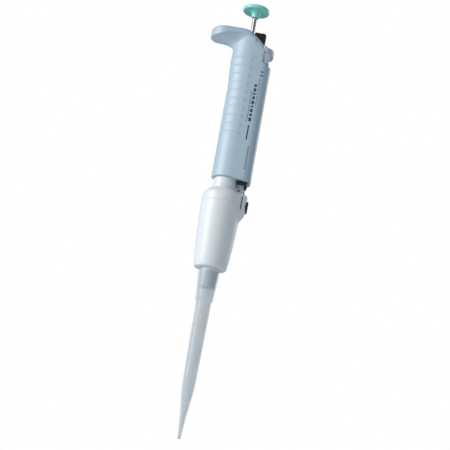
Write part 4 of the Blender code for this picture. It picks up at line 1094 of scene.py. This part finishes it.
@dataclass
class GuideBlock:
    """The black block that fills the housing's bottom round the ejector's link."""

    left: float = 9.5
    half_width: float = 9.0
    proud: float = 3.6
    slot_half: float = 3.8
    slot_right: float = 17.5
    neck_room: float = 10.5

    def build(self, grip: Grip) -> None:
        """Builds the block with its slot, hollowed round the neck."""
        low, high = span("ejector_guide_block")
        half, right = self.half_width, high.x
        plan = [(self.left, -half), (right, -half), (right, half), (self.left, half)]
        plan += [(self.left, self.slot_half), (self.slot_right, self.slot_half)]
        plan += [(self.slot_right, -self.slot_half), (self.left, -self.slot_half)]
        guide = drawn("link_guide", plan, grip.low - self.proud, high.z, Axis.Z)
        bore = [(self.neck_room, grip.low - self.proud - 1.0), (self.neck_room, high.z + 1.0)]
        carve(guide, [turned("neck_room", bore)])
        soften(guide, 0.2)
        place_piece(guide, BLACK, "housing", Slot.BLACK, "ejector_guide_block")


def swept(name: str, outline: Sequence[Point2], half: float) -> bpy.types.Object:
    """An upright outline with a half width, swept about the plunger axis through the lever's swing."""
    places = [(0.0, -half)] + [(turn, 0.0) for turn in levels(0.0, LEVER_SWING, 5)] + [(LEVER_SWING, half)]
    rings = []
    for degrees, aside in places:
        turn = Matrix.Rotation(math.radians(degrees), 3, "Z")
        rings.append([tuple(turn @ Vector((x, aside, z))) for x, z in outline])
    return Bench(name, rings[0]).extrude_all(rings[1:]).done()


def join_all(name: str, items: Sequence[bpy.types.Object]) -> bpy.types.Object:
    """Joins objects into one."""
    leave_edit()
    bpy.ops.object.select_all(action="DESELECT")
    for item in items:
        item.select_set(True)
    bpy.context.view_layer.objects.active = items[0]
    bpy.ops.object.join()
    items[0].name = name
    items[0].data.name = name
    return items[0]


# The push button, its rod and the lock


@dataclass
class Plunger:
    """The push button with its cap, the rod under it and the volume lock's lever."""

    button_radius: float = 11.55
    hub_radius: float = 3.3
    cap_radius: float = 8.8
    rod_radius: float = 1.9

    def build_button(self) -> None:
        """Builds the button: a rimmed disc with a groove under it, and a flared hub."""
        low, high = span("push_button")
        top, hub = high.z, low.z
        disc = top - 3.3
        outer = self.button_radius
        under = [
            (2.2, hub),
            (self.hub_radius - 0.3, hub),
            (self.hub_radius, hub + 0.35),
            (self.hub_radius + 0.1, hub + 1.6),
            (self.hub_radius + 0.5, hub + 3.2),
            (self.hub_radius + 1.2, hub + 4.6),
            (self.hub_radius + 2.2, disc + 1.1),
            (outer - 3.7, disc + 1.1),
            (outer - 3.5, disc + 0.0),
            (outer - 2.7, disc - 0.1),
            (outer - 2.5, disc + 0.9),
            (outer - 1.7, disc + 0.9),
            (outer - 1.5, disc - 0.1),
            (outer - 0.4, disc + 0.0),
            (outer, disc + 0.75),
            (outer, top - 1.1),
            (outer - 0.35, top - 0.35),
            (outer - 1.2, top),
            (self.cap_radius + 0.45, top),
            (self.cap_radius + 0.25, top - 0.15),
            (self.cap_radius + 0.25, top - 0.9),
        ]
        smooth = rounded(under, 0.25, closed=False, steps=3)
        button = turned("thumb_button", smooth, 96)
        carve(button, [turned("rod_socket", [(2.2, hub - 1.0), (2.2, disc + 1.0)], 48)])
        place_piece(button, MINT, "button", Slot.MINT, "push_button")

    def build_cap(self) -> None:
        """Builds the cap's slightly dished disc."""
        low, high = span("button_cap")
        radius = self.cap_radius
        profile = [(radius, low.z), (radius, high.z - 0.25), (radius - 0.3, high.z), (radius - 1.3, high.z)]
        profile += [(radius * (1 - share), high.z - 0.35 * ease(share)) for share in (0.3, 0.5, 0.7, 0.9)]
        place_piece(turned("thumb_cap", profile, 72), MINT, "button", Slot.MINT, "button_cap")

    def build_rod(self) -> None:
        """Builds the ground rod with its chamfered ends."""
        low, high = span("plunger_rod")
        radius = self.rod_radius
        profile = [(radius - 0.3, low.z), (radius, low.z + 0.3)]
        profile += [(radius, height) for height in levels(low.z + 2.0, high.z - 2.0, 12)]
        profile += [(radius, high.z - 0.3), (radius - 0.3, high.z)]
        place_piece(turned("button_rod", profile, 48), STEEL, "button", Slot.ROD, "plunger_rod")

    def build_lever(self, grip: Grip) -> None:
        """Builds the lock lever: a wedge that hugs the dome, with its stem and ring."""
        low, high = span("lock_lever")
        near, far, top, lift = 2.2, high.x, high.z, 0.4
        side = [(near, grip.dome(near) + lift - 0.2)]
        side += [(x, grip.dome(x) + lift - 0.2) for x in (3.5, 5.0, 6.5, 8.0)]
        end = grip.dome(8.9) + lift
        side += [(9.2, end - 0.5), (far - 1.0, end - 1.0), (far, end), (far, top - 2.0)]
        side += [(far - 1.3, top - 0.5), (9.4, top - 0.1), (8.8, top - 0.55), (near + 1.2, top - 0.35)]
        side.append((near, top - 1.0))
        lever = drawn("lock_wedge", side, -3.0, 3.0, Axis.Y)
        soften(lever, 0.35)
        stem = block("lock_stem", (4.1, -1.3, low.z + 1.0), (6.8, 1.3, grip.top - 0.5))
        ring_profile = [(3.5, low.z), (6.8, low.z), (6.8, low.z + 2.0), (3.5, low.z + 2.0)]
        weld(lever, [stem, tube("lock_ring", ring_profile, 48)])
        place_piece(lever, BLACK, "lock", Slot.BLACK, "lock_lever")


# The ejector


@dataclass
class Ejector:
    """The ejector button with its stem, the link with its rack, and the sleeve it pushes."""

    half_width: float = 12.2
    stem_half: float = 11.6
    stations: tuple[float, ...] = (0.0, 0.2, 0.4, 0.6, 0.75, 0.9, 0.95, 0.985, 1.0)
    lip_height: float = 1.8
    lip_reach: float = 21.6
    lip_fall: float = 5.2
    lip_power: float = 2.6
    end_share: float = 0.1
    bar_low: float = 209.5
    bar_left: float = 10.3
    bar_right: float = 15.8
    bar_half: float = 3.5

    def build_button(self, grip: Grip) -> None:
        """Builds the button: an arched block with a rounded outer corner and a lip, on its stem."""
        low, high = span("ejector_button")
        left, top = low.x, high.z
        edge_left, edge_right = top - 6.2, top - 8.5
        outer = high.x
        rings = []
        for share in [-share for share in reversed(self.stations[1:])] + list(self.stations):
            y = share * self.half_width
            end = min(1.0, (1 - abs(share)) / self.end_share)
            shrink = 0.8 * (1 - math.sqrt(1 - (1 - end) ** 2))
            reach = self.reach(abs(y)) - left
            foot = edge_right - self.lip_height
            side = [(0.0, edge_left), (0.62, edge_right), (0.68, foot), (0.93, foot)]
            side += [(1.0, edge_right - 0.9), (1.0, top - 6.0)]
            for degrees in (15, 35, 55, 75):
                bend = math.radians(degrees)
                side.append((0.7 + 0.3 * math.cos(bend), top - 6.0 + 3.0 * math.sin(bend)))
            side += [(0.55, top - 2.5), (0.06, top - 0.1), (0.0, top - 0.6)]
            middle = (top + edge_right) / 2
            ring = []
            for across, z in side:
                x = left + reach * across
                x = min(x, left + reach - shrink) if across > 0.5 else x
                rise = ease_line((z - foot) / (top - foot))
                fall = grip.arch(y) * between(1.0 - 1.5 * across, 1.0, rise)
                ring.append((x, y, z + (middle - z) * 0.12 * shrink - fall))
            rings.append(ring)
        button = Bench("eject_button", rings[0]).extrude_all(rings[1:]).done(35.0)
        soften(button, 0.35, 3, 40.0)
        stem_high = edge_right - 1.0
        plan = []
        for y in levels(-self.stem_half, self.stem_half, 15):
            plan.append((min(self.reach(abs(y)) - 0.6, left + 6.0), y))
        plan += [(left, self.stem_half), (left, -self.stem_half)]
        stem = drawn("eject_stem", plan, low.z, stem_high, Axis.Z)
        soften(stem, 0.3, 2, 60.0)
        weld(button, [stem], 38.0)
        place_piece(button, SHELL_BLUE, "ejector", Slot.SHELL, "ejector_button")

    def reach(self, aside: float) -> float:
        """How far out the button's lip comes at a distance from its middle."""
        return self.lip_reach - self.lip_fall * (aside / self.half_width) ** self.lip_power

    def build_link(self) -> None:
        """Builds the link: a foot inside the grip, a grooved bar and a tongue."""
        low, high = span("ejector_link")
        left, right, half = self.bar_left, self.bar_right, self.bar_half
        foot = block("link_foot", (low.x, low.y, high.z - 3.0), (high.x, high.y, high.z))
        plan = [(left, -half), (low.x + 1.1, -half), (low.x + 1.35, 0.35 - half), (low.x + 1.75, 0.35 - half)]
        plan += [(low.x + 2.0, -half), (right - 1.6, -half), (right - 1.4, 0.3 - half)]
        plan += [(right - 1.0, 0.3 - half), (right - 0.8, -half), (right, -half), (right, half), (left, half)]
        bar = drawn("link_bar", plan, self.bar_low, high.z - 0.5, Axis.Z)
        tongue = block("link_tongue", (13.0, -3.0, low.z), (right, 3.0, self.bar_low + 1.0))
        weld(foot, [bar, tongue])
        soften(foot, 0.12, 2)
        place_piece(foot, GREY, "ejector", Slot.GREY, "ejector_link")

    def build_rack(self) -> None:
        """Builds the strip of fine teeth on the link's outer side."""
        low, high = span("link_rack")
        pitch, depth, margin = 1.0, 0.35, 0.6
        root = high.x - depth
        side = [(low.x, low.z), (low.x, high.z), (root, high.z)]
        height = high.z - margin
        while height > low.z + margin:
            side += [(root, height), (high.x, height - 0.15), (high.x, height - 0.45), (root, height - 0.6)]
            height -= pitch
        side.append((root, low.z))
        rack = drawn("toothed_strip", side, low.y, high.y, Axis.Y)
        place_piece(rack, BLACK, "ejector", Slot.BLACK, "link_rack")


@dataclass
class Sleeve:
    """The ejector sleeve with its head, the bulge for the link and the adjusting dial."""

    count: int = 144
    wall: float = 1.5
    bulge_reach: float = 20.7
    bulge_drop: float = 14.2
    bulge_rise: float = 12.6
    bulge_half_angle: float = 12.0
    bulge_side_angle: float = 20.0
    bulge_foot: float = 9.5
    bulge_head_start: float = 4.0
    bulge_head: float = 5.0
    bulge_crown: float = 0.06
    bulge_crown_turns: float = 2.5
    hole: float = 8.05
    head_hole: float = 10.6
    fine_step: float = 0.7
    outline: tuple[Point2, ...] = (
        (0.8, 13.35), (3.3, 13.85), (8.7, 14.55), (18.9, 15.4),
        (29.3, 16.05), (39.3, 16.4), (49.3, 16.9), (60.0, 16.9),
    )
    seam: float = field(init=False)
    low: float = field(init=False)

    def __post_init__(self) -> None:
        """Reads where the frame puts the seam and the lower end."""
        self.low = span("ejector_sleeve")[0].z
        self.seam = span("ejector_sleeve")[1].z + 0.15

    def bulge(self, angle: float, radius: float, height: float) -> float:
        """How far the bulge moves the wall out at an angle and a height."""
        offset = math.atan2(math.sin(angle), math.cos(angle))
        across = 1 - ease((abs(math.degrees(offset)) - self.bulge_half_angle) / self.bulge_side_angle)
        if across <= 0:
            return 0.0
        rise = ease((height - (self.seam - self.bulge_drop)) / self.bulge_foot)
        head_start = self.seam + self.bulge_rise - self.bulge_head_start
        fall = 1 - ease((height - head_start) / self.bulge_head)
        crown = 1 - self.bulge_crown * (1 - math.cos(offset * self.bulge_crown_turns))
        return max(0.0, self.bulge_reach * crown - radius) * across * rise * fall

    def ring(self, radius: float, height: float, bulged: bool) -> list[Point3]:
        """A level ring of the wall, with or without the bulge."""
        points = []
        for angle in around(self.count):
            reach = radius + (self.bulge(angle, radius, height) if bulged else 0.0)
            points.append((reach * math.cos(angle), reach * math.sin(angle), height))
        return points

    def outer_radius(self, height: float) -> float:
        """The sleeve's outer radius at a height."""
        rise = height - self.low
        for (z0, r0), (z1, r1) in zip(self.outline, self.outline[1:]):
            if rise <= z1:
                return between(r0, r1, ease_line((rise - z0) / (z1 - z0)))
        return self.outline[-1][1]

    def build_sleeve(self) -> None:
        """Builds the tapered sleeve with its chamfered lower end."""
        low, high, hole = self.low, self.seam - 0.05, self.hole
        start = [(hole, 2.2), (hole, 0.2), (hole + 0.2, 0.0), (12.3, 0.0), (12.75, 0.12), (13.15, 0.45)]
        rings = [self.ring(radius, low + rise, False) for radius, rise in start]
        for height in levels(low + 1.0, high - 0.35, 46):
            rings.append(self.ring(self.outer_radius(height), height, True))
        edge = self.outer_radius(high)
        rings += [self.ring(edge - 0.04, high - 0.06, True), self.ring(edge - 0.14, high, True)]
        inner = [(edge - self.wall, high), (edge - self.wall, low + 30.0), (12.2, low + 2.2)]
        rings += [self.ring(radius, height, False) for radius, height in inner]
        sleeve = Bench("push_sleeve", rings[0], filled=False).extrude_all(rings[1:]).join_ends().done(30.0)
        carve(sleeve, [self.slit()], 36.0)
        place_piece(sleeve, WHITE, "sleeve", Slot.WHITE, "ejector_sleeve")

    def slit(self) -> bpy.types.Object:
        """The slit beside the link with its round lower end."""
        middle, foot, head = 16.1, self.seam - 2.4, self.seam + 16.0
        half, radius = 0.42, 0.72
        side = [(middle + half, head), (middle - half, head), (middle - half, foot + 0.7)]
        for degrees in range(130, 411, 35):
            angle = math.radians(degrees)
            side.append((middle + radius * math.cos(angle), foot + radius * math.sin(angle)))
        side.append((middle + half, foot + 0.7))
        return drawn("slit_cut", side, -20.0, -3.3, Axis.Y)

    def build_head(self) -> None:
        """Builds the head: a shoulder, a cone to the neck, and the upper half of the bulge."""
        low, top = self.seam + 0.05, span("cylinder_collar")[1].z - 16.0
        inner = self.head_hole
        shoulder = [(16.76, 0.0), (16.86, 0.06), (16.9, 0.35), (16.88, 2.0), (16.84, 4.4), (16.7, 6.2)]
        shoulder += [(16.35, 7.5), (15.7, 8.5), (14.5, 9.6), (13.2, 10.7), (12.2, 11.5), (11.5, 11.9)]
        outer = [(radius, low + rise) for radius, rise in shoulder]
        outer += [(inner + 0.3, top), (inner, top - 0.3)]
        fine: list[Point2] = []
        for (r0, z0), (r1, z1) in zip(outer, outer[1:]):
            steps = max(1, round(math.hypot(r1 - r0, z1 - z0) / self.fine_step))
            fine += [(between(r0, r1, k / steps), between(z0, z1, k / steps)) for k in range(steps)]
        fine.append(outer[-1])
        rings = [self.ring(15.0, low, False)]
        rings += [self.ring(radius, height, height < top - 0.05) for radius, height in fine]
        rings += [self.ring(inner, top - 1.5, False), self.ring(15.0, low + 6.3, False)]
        head = Bench("push_head", rings[0], filled=False).extrude_all(rings[1:]).join_ends().done(30.0)
        channel = block("channel_cut", (12.4, -3.8, self.seam - 2.0), (17.5, 3.8, self.seam + 20.0))
        carve(head, [channel, self.slit()], 36.0)
        place_piece(head, WHITE, "sleeve", Slot.WHITE, "sleeve_head")

    def build_dial(self) -> None:
        """Builds the dial: a fluted disc with a dished face and a screwdriver slot."""
        low, high = span("adjusting_dial")
        middle = (low.z + high.z) / 2
        radius = (high.y - low.y) / 2
        count, flutes = 144, 24

        def ring(scale: float, place: float, flute: float) -> list[Point3]:
            """One ring around the dial's axis."""
            points = []
            for angle in around(count):
                reach = radius * scale - flute * (0.5 + 0.5 * math.cos(flutes * angle))
                points.append((place, reach * math.cos(angle), middle + reach * math.sin(angle)))
            return points

        face, dish = high.x, high.x - 0.3
        sections = [(0.95, low.x, 0.0), (1.0, low.x + 0.2, 0.25), (1.0, face - 0.45, 0.25)]
        sections += [(0.97, face - 0.12, 0.15), (0.9, face, 0.0), (0.78, face, 0.0)]
        sections += [(0.72, dish, 0.0), (0.1, dish, 0.0)]
        rings = [ring(*section) for section in sections]
        dial = Bench("set_dial", rings[0]).extrude_all(rings[1:]).done()
        slot = block("slot_cut", (face - 1.2, -0.5, middle - 3.2), (face + 1.0, 0.5, middle + 3.2))
        carve(dial, [slot])
        place_piece(dial, BLACK, "adjuster", Slot.BLACK, "adjusting_dial")


def ease_line(share: float) -> float:
    """A share held between 0 and 1."""
    return max(0.0, min(1.0, share))


# The tip and the liquid end


@dataclass
class LiquidEnd:
    """The neck, the nose cone with its cylinder, and the tip."""

    bore: float = 10.0
    cylinder_wall: float = 2.0
    channel: float = 2.5

    def build_tip(self) -> None:
        """Builds the tip: a cone, a long tube, a step and a collar with a rim."""
        top = span("pipette_tip")[1].z
        outer = [(1.46, 0.0), (1.46, 2.4), (2.2, 12.6), (3.1, 22.0), (4.2, 31.5), (5.1, 40.0), (5.35, 45.0)]
        outer += [(5.6, 59.0), (6.0, 79.0), (6.35, top - 26.2), (6.42, top - 25.6), (7.5, top - 24.2)]
        outer += [(7.62, top - 23.8), (7.35, top - 23.0), (8.25, top - 8.5), (8.55, top - 5.0)]
        outer += [(8.75, top - 4.3), (8.75, top - 0.3), (8.5, top)]
        inner = [(8.05, top), (7.85, top - 0.4), (6.45, top - 23.4), (5.5, top - 25.6), (5.05, 79.0)]
        inner += [(4.7, 59.0), (4.3, 42.0), (3.3, 31.9), (2.2, 22.4), (1.35, 12.9), (0.8, 2.6), (0.8, 0.0)]
        body = rounded(outer, 3.0, closed=False, steps=3)
        tip = tube("clear_tip_shell", body + inner, 72)
        place_piece(tip, TIP_CLEAR, "tip", Slot.TIP, "pipette_tip")

    def build_nose(self) -> None:
        """Builds the nose cone with its fine seating rings and the cylinder over it."""
        low, high = span("nozzle_cylinder")
        foot, bore, outside = low.z, self.bore, self.bore + self.cylinder_wall
        outer = [(self.channel, foot), (5.9, foot), (6.4, foot + 0.4), (6.6, foot + 1.2)]
        groove = 0.18
        for rise in (3.0, 6.0, 9.0):
            radius, height = between(6.62, 7.4, rise / 13.5), foot + rise
            outer += [(radius, height), (radius - groove, height + 0.25)]
            outer += [(radius - groove, height + 0.75), (radius + 0.04, height + 1.0)]
        outer += [(7.5, foot + 13.4), (7.55, foot + 26.0), (outside, foot + 34.5), (outside, high.z)]
        inner = [(bore, high.z), (bore, foot + 34.5), (self.channel, foot + 30.5)]
        nose = tube("nose_and_barrel", outer + inner, 72)
        place_piece(nose, WHITE, "housing", Slot.WHITE, "nozzle_cylinder")

    def build_neck(self) -> None:
        """Builds the neck with its spigot."""
        low, high = span("cylinder_collar")
        neck_top = high.z - 6.8
        flange, outer, spigot, bore, rod_hole = 12.0, 10.0, 9.1, 7.8, 2.8
        profile = [(rod_hole, low.z), (flange, low.z), (flange, low.z + 2.2), (outer, low.z + 2.2)]
        profile += [(outer, neck_top - 0.4), (outer - 0.4, neck_top), (spigot, neck_top), (spigot, high.z)]
        profile += [(bore, high.z), (bore, low.z + 4.2), (rod_hole, low.z + 4.2)]
        neck = tube("neck_collar", profile, 96)
        place_piece(neck, WHITE, "housing", Slot.WHITE, "cylinder_collar")


# The counter


@dataclass
class Counter:
    """The digits on the number wheels."""

    digit_height: float = 3.9
    proud: float = 0.05
    text_scale: float = 1.35
    wheels: tuple[tuple[str, str], ...] = (
        ("hundredths_wheel", "hundredths"),
        ("tenths_wheel", "tenths"),
        ("units_wheel", "units"),
    )

    def digit(self, number: int) -> bpy.types.Object:
        """One upright digit as a thin solid, centred on the origin in the XZ plane."""
        leave_edit()
        bpy.ops.object.select_all(action="DESELECT")
        bpy.ops.object.text_add()
        item = bpy.context.object
        item.data.body = str(number)
        item.data.align_x = "CENTER"
        item.data.align_y = "CENTER"
        item.data.size = self.digit_height * self.text_scale * MM
        item.data.extrude = self.proud * MM
        item.data.resolution_u = 3
        bpy.ops.object.convert(target="MESH")
        return bpy.context.object

    def build(self) -> None:
        """Lays ten digits round each wheel."""
        for node, body in self.wheels:
            low, high = span(node)
            centre = (low + high) / 2
            radius = (high.x - low.x) / 2
            digits = []
            for number in range(10):
                item = self.digit(number)
                for vert in item.data.vertices:
                    angle = math.radians(36 * number) + vert.co.x / MM / radius
                    reach = radius + vert.co.z / MM
                    x, y = centre.x + reach * math.cos(angle), centre.y + reach * math.sin(angle)
                    vert.co = Vector((x, y, centre.z + vert.co.y / MM)) * MM
                digits.append(item)
            ring = join_all(body + "_digits", digits)
            place_piece(ring, DIGIT_INK, body, Slot.BLACK)


# The inner works that keep their shape


INNER_FINISHES: dict[str, Finish] = {
    "display_window": PANE_CLEAR,
    "mechanism_frame": GREY,
    "collar_nut": GREY,
    "lower_pinion": GREY,
    "upper_pinion": GREY,
    "screw_nut": BRASS,
    "volume_screw": BRASS,
    "drive_gear": BRASS,
    "counter_spindle": STEEL,
    "pinion_spindle": STEEL,
    "piston_rod": STEEL,
    "ejector_rod": STEEL,
    "spring_washer": PRESSED_STEEL,
    "blowout_plate": PRESSED_STEEL,
    "stop_ring": PRESSED_STEEL,
    "ejector_clip": PRESSED_STEEL,
    "blowout_spring": SPRING_WIRE,
    "return_spring": SPRING_WIRE,
    "ejector_spring": SPRING_WIRE,
    "piston": WHITE,
    "counter_gear": WHITE,
    "hundredths_wheel": WHEEL_WHITE,
    "tenths_wheel": WHEEL_WHITE,
    "units_wheel": WHEEL_WHITE,
    "piston_seal": RUBBER,
}


# The studio


@dataclass(frozen=True)
class Lamp:
    """A square light: its place and size in metres and its power in watts."""

    name: str
    place: Point3
    size: float
    power: float
    colour: Point3


LAMPS = (
    Lamp("key", (-1.46, -0.72, 0.62), 0.9, 19.0, (1.0, 0.995, 0.985)),
    Lamp("front", (-0.7, -1.5, 0.1), 1.2, 0.6, (0.97, 0.985, 1.0)),
    Lamp("rim", (0.9, 0.9, 0.7), 0.7, 3.0, (0.95, 0.975, 1.0)),
)


@dataclass
class Studio:
    """The floor, the lights and the camera."""

    target: Point3 = (0.006, 0.0, 0.1788)
    distance: float = 1.0
    tilt: float = 15.0
    lean: float = 10.19
    lens: float = 96.64
    floor_height: float = -0.15
    floor_size: float = 6.0
    floor_tones: tuple[float, float] = (0.86, 0.82)
    seen_strength: float = 1.0
    cast_strength: float = 0.38
    cast_colour: Point3 = (0.86, 0.93, 1.0)

    def build_floor(self) -> None:
        """Lays a plain pale floor."""
        leave_edit()
        bpy.ops.object.select_all(action="DESELECT")
        bpy.ops.mesh.primitive_plane_add(size=self.floor_size, location=(0.0, 0.0, self.floor_height))
        floor = bpy.context.object
        floor.name = "studio_floor"
        wiring = Wiring("floor_pale")
        cloud = wiring.noise(wiring.place(), 3.0, 2.0)
        light, dark = (tone((1.0, 1.0, 1.0), share) for share in self.floor_tones)
        wiring.set(Base_Color=wiring.blend(cloud, light, dark), Roughness=0.8)
        floor.data.materials.append(wiring.material)

    def build_world(self) -> None:
        """A white backdrop that lights the object only softly."""
        world = bpy.data.worlds.new("studio_world")
        bpy.context.scene.world = world
        world.use_nodes = True
        tree = world.node_tree
        tree.nodes.clear()
        path = tree.nodes.new("ShaderNodeLightPath")
        seen = tree.nodes.new("ShaderNodeBackground")
        seen.inputs["Color"].default_value = (1.0, 1.0, 1.0, 1.0)
        seen.inputs["Strength"].default_value = self.seen_strength
        cast = tree.nodes.new("ShaderNodeBackground")
        cast.inputs["Color"].default_value = tone(self.cast_colour, 1.0)
        cast.inputs["Strength"].default_value = self.cast_strength
        mix = tree.nodes.new("ShaderNodeMixShader")
        out = tree.nodes.new("ShaderNodeOutputWorld")
        tree.links.new(path.outputs["Is Camera Ray"], mix.inputs[0])
        tree.links.new(cast.outputs[0], mix.inputs[1])
        tree.links.new(seen.outputs[0], mix.inputs[2])
        tree.links.new(mix.outputs[0], out.inputs[0])

    def add_light(self, lamp: Lamp) -> None:
        """One soft square light that looks at the object's middle."""
        data = bpy.data.lights.new(lamp.name, "AREA")
        data.shape = "SQUARE"
        data.size = lamp.size
        data.energy = lamp.power
        data.color = lamp.colour
        light = bpy.data.objects.new(lamp.name, data)
        bpy.context.scene.collection.objects.link(light)
        away = Vector(lamp.place) - Vector(self.target)
        turn = away.to_track_quat("Z", "Y").to_matrix().to_4x4()
        light.matrix_world = Matrix.Translation(lamp.place) @ turn

    def build_lights(self) -> None:
        """A large key light from the left and weaker ones around."""
        for lamp in LAMPS:
            self.add_light(lamp)

    def build_camera(self) -> None:
        """A long lens that looks up at the leaning object."""
        tilt, lean = math.radians(self.tilt), math.radians(self.lean)
        ahead = Vector((0.0, math.cos(tilt), math.sin(tilt)))
        level = Vector((1.0, 0.0, 0.0))
        upright = Vector((0.0, -math.sin(tilt), math.cos(tilt)))
        right = level * math.cos(lean) + upright * math.sin(lean)
        up = upright * math.cos(lean) - level * math.sin(lean)
        data = bpy.data.cameras.new("view")
        data.lens = self.lens
        data.sensor_width = 36.0
        data.clip_start = 0.01
        camera = bpy.data.objects.new("view", data)
        bpy.context.scene.collection.objects.link(camera)
        place = Vector(self.target) - ahead * self.distance
        turn = Matrix((right, up, -ahead)).transposed().to_4x4()
        camera.matrix_world = Matrix.Translation(place) @ turn
        bpy.context.scene.camera = camera
        bpy.context.scene.view_settings.view_transform = "Standard"


def main() -> None:
    """Builds the looks around the frame, from the grip to the tip."""
    logging.basicConfig(level=logging.INFO, format="%(name)s: %(message)s")
    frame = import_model()
    for node, finish in INNER_FINISHES.items():
        dress_node(frame, node, finish)
    grip = Grip()
    grip.build()
    grip.build_cover()
    GuideBlock().build(grip)
    grip.build_bush()
    grip.build_print()
    plunger = Plunger()
    plunger.build_button()
    plunger.build_cap()
    plunger.build_rod()
    plunger.build_lever(grip)
    ejector = Ejector()
    ejector.build_button(grip)
    ejector.build_link()
    ejector.build_rack()
    sleeve = Sleeve()
    sleeve.build_sleeve()
    sleeve.build_head()
    sleeve.build_dial()
    liquid = LiquidEnd()
    liquid.build_tip()
    liquid.build_nose()
    liquid.build_neck()
    Counter().build()
    studio = Studio()
    studio.build_floor()
    studio.build_world()
    studio.build_lights()
    studio.build_camera()


if __name__ == "__main__":
    main()
